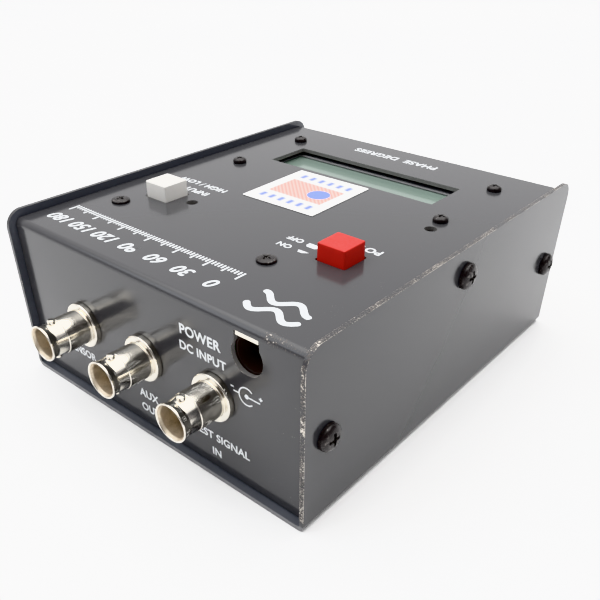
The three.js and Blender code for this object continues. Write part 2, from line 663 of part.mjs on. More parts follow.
function powerJackPin() {
  const tip = POWER_FACE + POWER_JACK.pinFromFace;
  const tail = POWER_FACE + POWER_JACK.length;
  const radius = POWER_JACK.pin;
  const profile = [
    [0, tip], [radius * POWER_JACK.pinTaper, tip], [radius, tip + POWER_JACK.pinTip], [radius, tail],
    [0, tail],
  ];
  return turned(profile, 'y', { x: POWER_JACK.x, y: 0, z: POWER_JACK.z });
}

function powerJackStrip() {
  const low = POWER_BODY_TOP + SEAT;
  const left = POWER_JACK.x - STRIP.width / 2;
  const right = POWER_JACK.x + STRIP.width / 2;
  const near = FRONT + STRIP.lipInset;
  const strip = box(left, right, near, near + STRIP.length, low, low + STRIP.thickness);
  const lip = box(left, right, near, near + STRIP.thickness, low, low + STRIP.lip);
  return join(strip, lip);
}

// ---- label --------------------------------------------------------------------------------

function topLabel() {
  const geometry = new THREE.BoxGeometry(LABEL.width, LABEL.depth, LABEL.thickness);
  geometry.rotateZ(LABEL.turn);
  geometry.translate(LABEL.x, LABEL.y, TOP + SEAT + LABEL.thickness / 2);
  return solid(geometry);
}

// ---- assembly -----------------------------------------------------------------------------

function geometryOf(body) {
  const { vertProperties, triVerts } = body.getMesh();
  const geometry = new THREE.BufferGeometry();
  geometry.setAttribute('position', new THREE.BufferAttribute(new Float32Array(vertProperties), 3));
  geometry.setIndex(new THREE.BufferAttribute(new Uint32Array(triVerts), 1));
  geometry.computeVertexNormals();
  return geometry;
}

const meter = new THREE.Group();

function addPiece(name, body, paint) {
  const mesh = new THREE.Mesh(geometryOf(body), new THREE.MeshStandardMaterial(PAINTS[paint]));
  mesh.name = name;
  meter.add(mesh);
}

function addCase() {
  addPiece('case_cover', caseCover(), 'enamel');
  addPiece('case_chassis', caseChassis(), 'enamel');
  const seat = CASE.width / 2 + SEAT;
  for (const [place, at] of Object.entries(SIDE_SCREWS)) {
    addPiece(`side_screw_left_${place}`, panScrew(SIDE_SCREW, 'minusX', { x: -seat, ...at }), 'blackOxide');
    addPiece(`side_screw_right_${place}`, panScrew(SIDE_SCREW, 'x', { x: seat, ...at }), 'blackOxide');
  }
  addPiece('top_label', topLabel(), 'paper');
}

function addDisplay() {
  displayScrewPlaces().forEach((at, index) => {
    const screw = panScrew(DISPLAY_SCREW, 'z', { ...at, z: TOP + SEAT });
    addPiece(`display_screw_${index + 1}`, screw, 'blackOxide');
    addPiece(`display_standoff_${index + 1}`, displayStandoff(at), 'aluminium');
  });
  addPiece('display_board', displayBoard(), 'board');
  addPiece('display_bezel', displayBezel(), 'bezel');
  addPiece('display_glass', displayGlass(), 'displayGlass');
  addPiece('display_header', displayHeader(), 'chip');
}

function addMainBoard() {
  for (const [side, at] of Object.entries(BOARD_SCREWS)) {
    addPiece(`board_screw_${side}`, panScrew(BOARD_SCREW, 'z', { ...at, z: TOP + SEAT }), 'blackOxide');
    addPiece(`board_standoff_${side}`, boardStandoff(at), 'aluminium');
  }
  addPiece('main_board', mainBoard(), 'board');
  for (const [name, place] of Object.entries(CHIPS)) {
    addPiece(`${name}_chip`, dipChip(place), 'chip');
  }
  addPiece('voltage_regulator', regulator(), 'chip');
  addPiece('filter_capacitor', filterCapacitor(), 'can');
  for (const [side, at] of Object.entries(TRIMMERS)) {
    addPiece(`trimmer_body_${side}`, trimmerBody(at), 'trimmerBlue');
    addPiece(`trimmer_rotor_${side}`, trimmerRotor(at), 'trimmerRotor');
  }
}

function addSwitches() {
  for (const [name, at] of Object.entries(BUTTONS)) {
    addPiece(`${name}_switch_body`, switchBody(at), 'switchPlastic');
    addPiece(`${name}_switch_plunger`, switchPlunger(at), 'whitePlastic');
    addPiece(`${name}_switch_spring`, returnSpring(at), 'springSteel');
    addPiece(`${name}_button_cap`, buttonCap(at), name === 'power' ? 'redPlastic' : 'whitePlastic');
  }
}

function addJacks() {
  for (const [place, x] of Object.entries(JACKS)) {
    addPiece(`${place}_jack_shell`, jackShell(x), 'nickel');
    addPiece(`${place}_jack_insulator`, jackInsulator(x), 'ptfe');
    addPiece(`${place}_jack_contact`, jackContact(x), 'gold');
    addPiece(`${place}_jack_nut`, jackNut(x), 'nickel');
    addPiece(`${place}_jack_lead`, jackLead(x), 'tinned');
  }
  addPiece('power_jack_body', powerJackBody(), 'jackPlastic');
  addPiece('power_jack_pin', powerJackPin(), 'tinned');
  addPiece('power_jack_strip', powerJackStrip(), 'nickel');
}

addCase();
addDisplay();
addMainBoard();
addSwitches();
addJacks();
meter.position.set(0, -(JACK_RIM_Y + CASE.depth) / 2, 0);

export default meter;
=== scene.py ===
"""Looks of a small antenna phase meter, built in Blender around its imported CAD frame.

Lengths are millimetres until a mesh is made, when they become metres. +Z is up and the connector
panel faces -Y. "Back" is a distance from the cover's connector edge towards the display end.
Every place comes from the frame's own boxes; the shapes below add what the plain solids leave out.
"""

import json
import math

import bmesh
import bpy
from mathutils import Matrix, Vector


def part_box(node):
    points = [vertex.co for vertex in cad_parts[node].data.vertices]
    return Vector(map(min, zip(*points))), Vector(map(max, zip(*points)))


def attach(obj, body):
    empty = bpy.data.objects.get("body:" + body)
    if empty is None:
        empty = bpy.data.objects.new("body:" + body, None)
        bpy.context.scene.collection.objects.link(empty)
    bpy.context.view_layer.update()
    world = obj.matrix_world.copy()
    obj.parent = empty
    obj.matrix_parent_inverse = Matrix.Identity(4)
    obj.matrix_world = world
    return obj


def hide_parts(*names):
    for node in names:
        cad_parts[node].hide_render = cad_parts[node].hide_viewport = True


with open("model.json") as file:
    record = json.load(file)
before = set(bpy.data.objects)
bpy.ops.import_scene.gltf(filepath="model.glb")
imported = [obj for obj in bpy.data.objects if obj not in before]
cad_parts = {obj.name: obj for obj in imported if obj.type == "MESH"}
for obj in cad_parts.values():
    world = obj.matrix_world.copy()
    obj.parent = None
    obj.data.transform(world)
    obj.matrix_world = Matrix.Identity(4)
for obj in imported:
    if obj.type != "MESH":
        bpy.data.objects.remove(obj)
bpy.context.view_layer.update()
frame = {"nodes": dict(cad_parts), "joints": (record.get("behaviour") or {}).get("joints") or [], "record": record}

MM = 0.001

# ---- driving dimensions ----

SHEET = 1.2
BEND = 2.0
COVER_CORNER = 5.0
ROUND_STEPS = 8
SMOOTH_ANGLE = 32

WINDOW = {"left": 31.4, "right": 29.4, "front": 6.6, "rear": 9.6, "corner": 0.5}
BUTTON_HOLE = {"size": 9.2, "corner": 0.6}
ACCESS_HOLE_RADIUS = 1.7
SCREW_HOLE_CLEARANCE = 0.1
# Shares of a screw's head: of its radius, and for wall and recess of its height.
SCREW = {"shank": 0.5, "rim": 0.96, "wall": 0.34, "recess": 0.62, "wing": 1.12, "wing_width": 0.25}
THREAD = {"pitch": 0.42, "root": 0.8}
DISPLAY = {"corner": 1.2, "wall": 0.5, "view": (64.5, 18), "view_corner": 0.8}
TAB = {"end": 9.5, "top": 9, "relief": 3, "inset": 0.05}
POWER_HOLE = {"radius": 4.6, "notch_width": 7.2, "top": 5.5}
SOCKET = {"mouth": 4.25, "bore": 3.9, "bore_depth": 9, "strip": 0.4}
JACK = {
    "rim": 4.85, "lip": 0.55, "flare": 2.3, "neck": 4.42, "step": 5.2, "barrel": 4.83,
    "bore": 4.05, "bore_depth": 8.6, "flange_thickness": 1.7, "thread": 4.6, "thread_pitch": 0.8,
    "lug": 1.0, "lug_reach": 5.5, "lug_back": 3.9,
}
INSULATOR = {"bore": 1.2, "counterbore": 0.45, "counterbore_depth": 0.5}
CONTACT = {"bore": 0.7, "bore_depth": 4, "tail": 0.8, "slot": 0.12, "slot_depth": 3}
LABEL = {
    "width": 25.8, "depth": 27.4, "turn": 0.018, "field": (19, 11.6), "disc": 3.4, "disc_at": 4.6,
    "row": 2.6, "rows_at": 9.4, "dash_pitch": 3.4, "hatch_pitch": 1.5,
}
CAP = {"corner": 0.4, "edge": 0.28, "draft": 0.05, "foot": 0.2, "socket": 3.4, "socket_depth": 3.5}
SCALE = {
    "degrees": 30, "numbers": 7, "numbers_at": (16.5, 12.4), "number_pitch": 9.7, "height": 3.9,
    "ticks": 61, "ticks_at": (18.6, 19.2), "tick_pitch": 1.07, "line": 0.5,
    "tens": 3.6, "fives": 2.7, "ones": 1.7,
}
PHASE_MARK = {"at": (35.1, 12.1), "width": 14.2, "height": 3, "line": 1.6, "cycles": 1.5, "level": 2.5}


# ---- places in the frame ----

def corners(node):
    """Lowest and highest corner of a CAD node."""
    low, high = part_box(node)
    return low / MM, high / MM


def middle(node):
    low, high = corners(node)
    return (low + high) / 2


def flat_middle(low, high):
    """Middle of a box, seen from above."""
    return ((low.x + high.x) / 2, (low.y + high.y) / 2)


COVER_LOW, COVER_HIGH = corners("case_cover")
CHASSIS_LOW, CHASSIS_HIGH = corners("case_chassis")
TOP_FACE = CHASSIS_HIGH.z
PANEL_FACE = CHASSIS_LOW.y
JACK_SIDES = ("left", "middle", "right")
BUTTONS = ("power", "input")
TRIMMERS = ("left", "right")
DISPLAY_SCREWS = [f"display_screw_{number}" for number in range(1, 5)]
BOARD_SCREWS = ["board_screw_left", "board_screw_right"]
SIDE_SCREWS = [
    f"side_screw_{side}_{place}" for side in ("left", "right") for place in ("front", "middle", "rear")
]


def on_top(x, back):
    """A point on the top face, from its x and its distance back from the connector edge."""
    return Vector((x, COVER_LOW.y + back, TOP_FACE))


def on_panel(x, z):
    return Vector((x, PANEL_FACE, z))


# ---- outlines ----

def arc(centre, radius, start, end, steps=ROUND_STEPS):
    """Points along an arc, with its ends in degrees."""
    angles = [math.radians(start + (end - start) * step / steps) for step in range(steps + 1)]
    return [(centre[0] + radius * math.cos(angle), centre[1] + radius * math.sin(angle)) for angle in angles]


def rounded_rectangle(width, depth, corner, centre=(0, 0), steps=ROUND_STEPS):
    outline = []
    for quarter, (side_u, side_v) in enumerate(((1, 1), (-1, 1), (-1, -1), (1, -1))):
        pivot = (centre[0] + side_u * (width / 2 - corner), centre[1] + side_v * (depth / 2 - corner))
        outline += arc(pivot, corner, 90 * quarter, 90 * (quarter + 1), steps)
    return outline


def circle(radius, centre=(0, 0), steps=48):
    return arc(centre, radius, 0, 360, steps)[:-1]


def filleted(points, radius, steps=4):
    """An open line with its inner corners rounded, each by no more than its shorter side allows."""
    result = [tuple(points[0])]
    for before, corner, after in zip(points, points[1:], points[2:]):
        corner = Vector(corner)
        back = Vector(before) - corner
        on = Vector(after) - corner
        reach = min(radius, 0.45 * back.length, 0.45 * on.length)
        start = corner + back.normalized() * reach
        end = corner + on.normalized() * reach
        for step in range(steps + 1):
            t = step / steps
            result.append(tuple(start * (1 - t) ** 2 + corner * 2 * t * (1 - t) + end * t ** 2))
    result.append(tuple(points[-1]))
    return result


def folded_section(low, high, base, tip):
    """Outline of one sheet folded into a U: legs at low and high, standing from base to tip."""
    way = math.copysign(1, tip - base)
    reach = abs(tip - base)
    inner = BEND - SHEET
    left = (low + BEND, BEND)
    right = (high - BEND, BEND)
    outside = [(low, reach), *arc(left, BEND, 180, 270), *arc(right, BEND, 270, 360), (high, reach)]
    inside = [*arc(right, inner, 360, 270), *arc(left, inner, 270, 180)]
    outline = outside + [(high - SHEET, reach), *inside, (low + SHEET, reach)]
    return [(u, base + way * v) for u, v in outline]


def ribbon(points, width, round_ends=False):
    """Outline of a stroke of even width along a line."""
    sides = ([], [])
    for index, point in enumerate(points):
        before = Vector(points[max(index - 1, 0)])
        after = Vector(points[min(index + 1, len(points) - 1)])
        along = (after - before).normalized()
        across = Vector((-along.y, along.x)) * width / 2
        sides[0].append(tuple(Vector(point) + across))
        sides[1].append(tuple(Vector(point) - across))
    if not round_ends:
        return sides[0] + sides[1][::-1]
    ends = []
    for end, neighbour in ((points[-1], points[-2]), (points[0], points[1])):
        outwards = Vector(end) - Vector(neighbour)
        facing = math.degrees(math.atan2(outwards.y, outwards.x))
        ends.append(arc(end, width / 2, facing + 90, facing - 90)[1:-1])
    return sides[0] + ends[0] + sides[1][::-1] + ends[1]


# ---- solids ----

# Where a point lies that is drawn flat as (u, v) and raised by w along a case axis.
LAID = {
    "x": lambda u, v, w: Vector((w, u, v)),
    "y": lambda u, v, w: Vector((u, w, v)),
    "z": lambda u, v, w: Vector((u, v, w)),
}


def skinned(bm, rings, closed=False):
    """Joins neighbouring rings with faces; a ring of one vertex is a pole."""
    pairs = list(zip(rings, rings[1:]))
    if closed:
        pairs.append((rings[-1], rings[0]))
    for ring, following in pairs:
        count = max(len(ring), len(following))
        for step in range(count):
            around = [
                ring[step % len(ring)], ring[(step + 1) % len(ring)],
                following[(step + 1) % len(following)], following[step % len(following)],
            ]
            bm.faces.new(list(dict.fromkeys(around)))


def prism(outline, low, high, axis="z"):
    bm = bmesh.new()
    rings = [[bm.verts.new(LAID[axis](u, v, w)) for u, v in outline] for w in (low, high)]
    for ring in rings:
        bm.faces.new(ring)
    skinned(bm, rings)
    return finished(bm)


def stacked(levels, axis="z"):
    """A solid through a stack of (outline, height) levels, closed flat at both ends."""
    bm = bmesh.new()
    rings = [[bm.verts.new(LAID[axis](u, v, height)) for u, v in outline] for outline, height in levels]
    bm.faces.new(rings[0])
    bm.faces.new(rings[-1])
    skinned(bm, rings)
    return finished(bm)


def lathe(profile, axis, at, segments=96, way=1):
    """A turned solid from (radius, distance along the axis) points, from axis to axis or a closed loop."""
    closed = profile[0] == profile[-1]
    bm = bmesh.new()
    rings = []
    for radius, along in profile[:-1] if closed else profile:
        turn = circle(radius, steps=segments) if radius > 0 else [(0, 0)]
        rings.append([bm.verts.new(LAID[axis](u, v, way * along) + at) for u, v in turn])
    skinned(bm, rings, closed)
    return finished(bm)


def finished(bm):
    bmesh.ops.recalc_face_normals(bm, faces=bm.faces)
    return bm


def merged(*parts):
    """One mesh of several separate closed parts."""
    whole = parts[0]
    for part in parts[1:]:
        mesh = new_mesh("part", part)
        whole.from_mesh(mesh)
        bpy.data.meshes.remove(mesh)
    return whole


def shaped(base, **steps):
    """Closed mesh left after exact steps such as cut=[...], join=[...] or keep=[...]."""
    operations = {"join": "UNION", "cut": "DIFFERENCE", "keep": "INTERSECT"}
    body = new_object("body", new_mesh("body", base))
    tools = []
    for step, parts in steps.items():
        for part in parts:
            tool = new_object("tool", new_mesh("tool", part))
            modifier = body.modifiers.new(step, "BOOLEAN")
            modifier.operation = operations[step]
            modifier.solver = "EXACT"
            modifier.object = tool
            tools.append(tool)
    result = baked(body, 1e-4)
    for item in [body, *tools]:
        bpy.data.meshes.remove(item.data)
    return finished(result)


def new_mesh(name, bm):
    mesh = bpy.data.meshes.new(name)
    bm.to_mesh(mesh)
    return mesh


def new_object(name, data):
    item = bpy.data.objects.new(name, data)
    bpy.context.scene.collection.objects.link(item)
    return item


def baked(item, weld):
    """An object's final mesh, with points closer than weld joined."""
    mesh = bpy.data.meshes.new_from_object(item.evaluated_get(bpy.context.evaluated_depsgraph_get()))
    bm = bmesh.new()
    bm.from_mesh(mesh)
    bpy.data.meshes.remove(mesh)
    bmesh.ops.remove_doubles(bm, verts=bm.verts, dist=weld)
    return bm


def add_piece(name, bm, slot, materials=None, replaces=(), bevel=0, pick=None, body="case"):
    """Makes the mesh a piece that rides on a body, finished with the given materials, or else with its material
    slot's finish.

    Of several materials the second is for the bevels, and pick gives the number of a face's own.
    """
    for face in bm.faces:
        face.material_index = int(pick(face)) if pick else 0
    bmesh.ops.scale(bm, vec=(MM, MM, MM), verts=bm.verts)
    mesh = new_mesh(name, bm)
    bm.free()
    for material in materials or [FINISHES[slot]]:
        mesh.materials.append(material)
    add_smoothing(mesh)
    piece = new_object(name, mesh)
    if bevel:
        add_bevel(piece, bevel, 1 if materials else -1)
    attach(piece, body)
    if replaces:
        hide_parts(*replaces)
    return piece


def add_smoothing(mesh):
    mesh.shade_smooth()
    mesh.set_sharp_from_angle(angle=math.radians(SMOOTH_ANGLE))


def add_bevel(piece, width, material=-1, segments=3):
    modifier = piece.modifiers.new("edges", "BEVEL")
    modifier.width = width * MM
    modifier.segments = segments
    modifier.limit_method = "ANGLE"
    modifier.angle_limit = math.radians(SMOOTH_ANGLE)
    modifier.material = material
    modifier.miter_outer = "MITER_ARC"
    weighted = piece.modifiers.new("flat_faces", "WEIGHTED_NORMAL")
    weighted.keep_sharp = True


# ---- materials ----

class Shading:
    """Short ways to add nodes to the tree of a material or the world."""

    def __init__(self, tree):
        self.tree = tree

    def feed(self, socket, value):
        if isinstance(value, bpy.types.NodeSocket):
            self.tree.links.new(value, socket)
        elif isinstance(value, tuple) and socket.type == "RGBA":
            socket.default_value = (*value, 1)
        else:
            socket.default_value = value

    def node(self, kind, inputs=None, **settings):
        node = self.tree.nodes.new(kind)
        for key, value in settings.items():
            setattr(node, key, value)
        for key, value in (inputs or {}).items():
            self.feed(node.inputs[key], value)
        return node

    def vector(self, operation, first, second, output="Vector"):
        return self.node("ShaderNodeVectorMath", {0: first, 1: second}, operation=operation).outputs[output]

    def math(self, operation, first, second=0.0):
        return self.node("ShaderNodeMath", {0: first, 1: second}, operation=operation).outputs[0]

    def remap(self, value, low, high, to_low=0.0, to_high=1.0):
        inputs = {"Value": value, "From Min": low, "From Max": high, "To Min": to_low, "To Max": to_high}
        return self.node("ShaderNodeMapRange", inputs, interpolation_type="SMOOTHSTEP").outputs[0]

    def mix(self, factor, first, second):
        inputs = {"Factor": factor, 6: first, 7: second}
        return self.node("ShaderNodeMix", inputs, data_type="RGBA").outputs[2]


class Finish(Shading):
    """A material's Principled shader.

    Sizes are in millimetres on the piece itself, so a grain keeps its scale on every piece.
    """

    def __init__(self, name, **values):
        self.material = bpy.data.materials.new(name)
        self.material.use_nodes = True
        super().__init__(self.material.node_tree)
        self.shader = self.tree.nodes["Principled BSDF"]
        self.place = self.node("ShaderNodeTexCoord").outputs["Object"]
        for key, value in values.items():
            self.set(key.replace("_", " "), value)

    def set(self, socket, value):
        names = {name.lower(): name for name in self.shader.inputs.keys()}
        self.feed(self.shader.inputs[names[socket.lower()]], value)

    def noise(self, size, detail=2, stretch=(1, 1, 1)):
        scaled = self.vector("MULTIPLY", self.place, stretch)
        inputs = {"Vector": scaled, "Scale": 1 / (size * MM), "Detail": detail}
        return self.node("ShaderNodeTexNoise", inputs).outputs["Fac"]

    def varied(self, size, detail, low, high):
        """A value that wanders from low to high, in patches of that size."""
        return self.remap(self.noise(size, detail), 0.3, 0.7, low, high)

    def mottled(self, size, detail, first, second):
        """A colour that wanders from one to another, in patches of that size."""
        return self.mix(self.varied(size, detail, 0.0, 1.0), first, second)

    def grain(self, size):
        """Distance to the nearest of a scatter of points, and a random shade for each point."""
        node = self.node("ShaderNodeTexVoronoi", {"Vector": self.place, "Scale": 1 / (size * MM)})
        return node.outputs["Distance"], node.outputs["Color"]

    def along(self, axis):
        """Place along X, Y or Z, in metres."""
        return self.node("ShaderNodeSeparateXYZ", {0: self.place}).outputs[axis]

    def bump(self, height, depth):
        """Relief of that depth; several calls add up."""
        socket = self.shader.inputs["Normal"]
        inputs = {"Height": height, "Distance": depth * MM, "Strength": 1.0}
        if socket.is_linked:
            inputs["Normal"] = socket.links[0].from_socket
        self.feed(socket, self.node("ShaderNodeBump", inputs).outputs[0])


BLACK_PAINT = (0.054, 0.054, 0.057)
SCUFFED_PAINT = (0.07, 0.062, 0.057)
# Paler grey for the bottom's ends: thin paint on the sheet's edge, and a painted highlight along it.
THIN_PAINT_AND_PAINTED_HIGHLIGHT = (0.17, 0.17, 0.175)
# Paler bluish enamel for the cover's inside: a painted reflection of the pale floor and sky.
INSIDE_PAINTED_REFLECTION = (0.1, 0.105, 0.12)
BARE_STEEL = (0.62, 0.58, 0.53)


def enamel(name, coat=BLACK_PAINT):
    """Gloss enamel with a faint orange peel and a few specks of dust."""
    finish = Finish(name, ior=1.45)
    distance, shade = finish.grain(2.6)
    speck = finish.math("MULTIPLY", finish.remap(distance, 0.035, 0.05, 1, 0), finish.remap(shade, 0.9, 0.92))
    finish.set("Base Color", finish.mix(speck, coat, (0.5, 0.48, 0.45)))
    finish.set("Roughness", finish.varied(14, 4, 0.13, 0.19))
    finish.bump(finish.noise(1.3, 2), 0.0012)
    finish.bump(finish.noise(9, 1), 0.004)
    return finish


def add_chips(finish, amount, scuffs=0.1, fresh=BLACK_PAINT):
    """Wears the paint through, in ragged flecks, to brown primer and then to bright steel."""
    patches = finish.varied(6, 2, -0.1, 0.1)
    level = finish.math("ADD", finish.math("ADD", finish.noise(0.4, 6), patches), amount)
    scuffed = finish.remap(level, 0.95 - scuffs, 0.98 - scuffs / 2)
    chip = finish.remap(level, 0.99, 1.015)
    paint = finish.mix(scuffed, fresh, SCUFFED_PAINT)
    finish.set("Base Color", finish.mix(chip, paint, BARE_STEEL))
    finish.set("Metallic", chip)
    finish.set("Roughness", finish.remap(finish.math("MAXIMUM", scuffed, chip), 0, 1, 0.15, 0.4))
    finish.bump(chip, 0.02)


def cover_wear(finish, most):
    """Share of paint gone: most near the connector end on the power socket's side, none at the bottom."""
    by_side = finish.remap(finish.along("X"), COVER_LOW.x * MM, COVER_HIGH.x * MM, 0.2, 0.0)
    by_length = finish.remap(finish.along("Y"), COVER_LOW.y * MM, COVER_HIGH.y * MM, 0.0, 0.04)
    lowest = COVER_LOW.z + BEND
    by_height = finish.remap(finish.along("Z"), lowest * MM, (lowest + BEND) * MM, 0.3, 0.0)
    less = finish.math("ADD", finish.math("ADD", by_side, by_length), by_height)
    return finish.math("SUBTRACT", most, less)


def cover_edge(name, most, scuffs):
    """The cover's edges: flecks of steel along the sides, and along the bottom's ends a paler grey that is thin
    paint and a painted highlight.
    """
    finish = enamel(name)
    low = finish.remap(finish.along("Z"), (COVER_LOW.z + SHEET) * MM, (COVER_LOW.z + BEND) * MM, 1, 0)
    # Towards the bottom the paint turns paler: thin paint, and a painted highlight along the edge.
    fresh = finish.mix(low, BLACK_PAINT, THIN_PAINT_AND_PAINTED_HIGHLIGHT)
    add_chips(finish, cover_wear(finish, most), scuffs, fresh)
    return finish.material


def chassis_paint():
    """The chassis's enamel, scuffed along the bend beside the power socket."""
    finish = enamel("enamel_chassis")
    bend = Vector((0, PANEL_FACE + BEND / 4, TOP_FACE - BEND / 4)) * MM
    section = finish.vector("MULTIPLY", finish.place, (0, 1, 1))
    away = finish.vector("DISTANCE", section, bend, "Value")
    socket = middle("power_jack_body").x
    beside = finish.remap(finish.along("X"), socket * MM, (socket + 1.5 * POWER_HOLE["radius"]) * MM, 0.4, 0)
    amount = finish.remap(away, 0.5 * MM, 1.2 * BEND * MM, 0.33, 0.1)
    add_chips(finish, finish.math("SUBTRACT", amount, beside), 0.12)
    return finish.material


def chassis_edge():
    """The chassis's cut edges: worn round the power hole, nearly whole elsewhere."""
    finish = enamel("enamel_chassis_edge")
    centre = Vector((middle("power_jack_body").x, PANEL_FACE, middle("power_jack_pin").z)) * MM
    away = finish.vector("DISTANCE", finish.place, centre, "Value")
    near = POWER_HOLE["radius"] * MM
    add_chips(finish, finish.remap(away, near, 5 * near, 0.5, 0.3))
    return finish.material


def plastic(slot, colour, roughness, shade=0.9, relief=0.004):
    """Moulded plastic with a fine mould texture and a slight change of shade."""
    finish = Finish(slot, ior=1.48)
    darker = tuple(channel * shade for channel in colour)
    finish.set("Base Color", finish.mix(finish.remap(finish.noise(3.5, 3), 0.35, 0.65), darker, colour))
    finish.set("Roughness", finish.varied(0.8, 3, roughness - 0.05, roughness + 0.05))
    finish.bump(finish.noise(0.22, 2), relief)
    return finish.material


def metal(slot, colour, roughness, stretch=(1, 1, 1), relief=0.002):
    """Metal with faint tarnish and fine tool marks, drawn out along the axes that stretch scales down."""
    finish = Finish(slot, metallic=1.0)
    tarnish = tuple(channel * 0.8 for channel in colour)
    finish.set("Base Color", finish.mix(finish.remap(finish.noise(2.4, 4), 0.35, 0.6), tarnish, colour))
    marks = finish.noise(0.35, 3, stretch)
    finish.set("Roughness", finish.remap(marks, 0.3, 0.7, roughness * 0.75, roughness * 1.3))
    finish.bump(marks, relief)
    return finish.material


def black_oxide():
    """Oiled black oxide with brighter rubbed spots."""
    finish = Finish("black_oxide", ior=1.5)
    rubbed = finish.remap(finish.noise(0.9, 3), 0.56, 0.72)
    finish.set("Base Color", finish.mix(rubbed, (0.02, 0.017, 0.017), (0.13, 0.12, 0.115)))
    finish.set("Metallic", finish.remap(rubbed, 0, 1, 0.35, 0.8))
    finish.set("Roughness", finish.varied(0.4, 3, 0.22, 0.42))
    finish.bump(finish.noise(0.3, 3), 0.006)
    return finish.material


def driver_wear():
    """Black oxide rubbed bright by the screwdriver, on the edges of the recess."""
    finish = Finish("black_oxide_worn", ior=1.5)
    rubbed = finish.remap(finish.noise(0.45, 4), 0.56, 0.61)
    finish.set("Base Color", finish.mix(rubbed, (0.014, 0.013, 0.013), (0.62, 0.6, 0.57)))
    finish.set("Metallic", rubbed)
    finish.set("Roughness", finish.remap(rubbed, 0, 1, 0.4, 0.25))
    finish.bump(finish.noise(0.3, 3), 0.01)
    return finish.material


def white_print():
    """Screen-printed white ink, slightly uneven."""
    finish = Finish("white_print", ior=1.45)
    finish.set("Base Color", finish.mottled(0.6, 3, (0.6, 0.62, 0.64), (0.78, 0.8, 0.82)))
    finish.set("Roughness", finish.varied(0.9, 2, 0.35, 0.55))
    finish.bump(finish.noise(0.4, 2), 0.004)
    return finish.material


def circuit_board():
    """Green solder mask over copper tracks."""
    finish = Finish("circuit_board", ior=1.5, roughness=0.35)
    track = finish.remap(finish.math("PINGPONG", finish.noise(9, 0, (1, 3, 1)), 0.04), 0.012, 0.02)
    finish.set("Base Color", finish.mix(track, (0.012, 0.12, 0.04), (0.03, 0.2, 0.07)))
    finish.bump(track, 0.035)
    return finish.material


def display_glass():
    """Reflective liquid crystal cell: grey-green, with two rows of faint character cells."""
    finish = Finish("display_glass", ior=1.5, roughness=0.12)
    low, high = corners("display_glass")
    column = finish.remap(finish.along("X"), (low.x + 6) * MM, (high.x - 6) * MM, 0, 16)
    cell = finish.remap(finish.math("PINGPONG", column, 0.5), 0.03, 0.06)
    shade = finish.mix(finish.math("MULTIPLY", cell, 0.5), (0.165, 0.21, 0.186), (0.15, 0.196, 0.172))
    finish.set("Base Color", finish.mottled(20, 2, shade, (0.154, 0.2, 0.175)))
    finish.bump(finish.noise(0.5, 2), 0.0006)
    return finish.material


def label_paper():
    """Satin white label: a pale hatched field with a blue disc on it, between two rows of dashes."""
    finish = Finish("label_paper", ior=1.45)
    centre = middle("top_label") * MM
    apart = finish.node("ShaderNodeSeparateXYZ", {0: finish.vector("SUBTRACT", finish.place, centre)})
    u = finish.math("DIVIDE", apart.outputs["X"], MM)
    v = finish.math("DIVIDE", apart.outputs["Y"], MM)

    def inside(value, half, middle_at=0.0, soft=0.12):
        distance = finish.math("ABSOLUTE", finish.math("SUBTRACT", value, middle_at))
        return finish.remap(distance, half - soft, half + soft, 1, 0)

    def stripes(value, pitch, share):
        return finish.remap(finish.math("PINGPONG", value, pitch / 2), pitch / 2 * (1 - share), pitch / 2)

    field = finish.math("MULTIPLY", inside(u, LABEL["field"][0] / 2), inside(v, LABEL["field"][1] / 2))
    offset = finish.math("SUBTRACT", u, LABEL["disc_at"])
    squares = finish.math("ADD", finish.math("MULTIPLY", offset, offset), finish.math("MULTIPLY", v, v))
    disc = inside(finish.math("SQRT", squares), LABEL["disc"])
    upper, lower = (inside(v, LABEL["row"] / 2, way * LABEL["rows_at"]) for way in (1, -1))
    rows = finish.math("MULTIPLY", finish.math("ADD", upper, lower), inside(u, LABEL["field"][0] / 2))
    dashes = finish.math("MULTIPLY", rows, stripes(u, LABEL["dash_pitch"], 0.72))
    paper = finish.mottled(1.2, 3, (0.8, 0.8, 0.8), (0.88, 0.87, 0.86))
    hatch = stripes(finish.math("ADD", u, v), LABEL["hatch_pitch"], 0.9)
    salmon = finish.mix(hatch, (0.86, 0.62, 0.57), (0.84, 0.42, 0.35))
    colour = finish.mix(disc, finish.mix(field, paper, salmon), (0.2, 0.3, 0.72))
    finish.set("Base Color", finish.mix(dashes, colour, (0.14, 0.24, 0.7)))
    finish.set("Roughness", finish.varied(0.7, 2, 0.35, 0.5))
    finish.bump(finish.noise(0.5, 3), 0.003)
    return finish.material


def floor_paper():
    """Seamless pale backdrop paper."""
    finish = Finish("floor_paper", roughness=0.75)
    finish.set("Base Color", finish.mottled(300, 3, (0.86, 0.862, 0.865), (0.89, 0.89, 0.89)))
    finish.bump(finish.noise(6, 2), 0.02)
    return finish.material


# Colour, roughness and, where it is not the usual one, how much of the colour the darker patches keep.
PLASTICS = {
    "display_bezel": ((0.2, 0.2, 0.205), 0.4),
    "moulded_black": ((0.018, 0.010, 0.008), 0.45),
    "capacitor_sleeve": ((0.03, 0.05, 0.15), 0.3),
    "trimmer_blue": ((0.03, 0.13, 0.45), 0.45),
    "trimmer_rotor": ((0.75, 0.73, 0.66), 0.45),
    "switch_plastic": ((0.04, 0.08, 0.2), 0.45),
    "white_plastic": ((0.8, 0.785, 0.75), 0.38, 0.97),
    "red_plastic": ((0.5, 0.02, 0.013), 0.55, 0.93),
    "ptfe": ((0.82, 0.8, 0.74), 0.45),
}
# Scale of the tool marks on each axis, for a part turned on Y.
TURNED_ON_Y = (0.15, 6, 0.15)
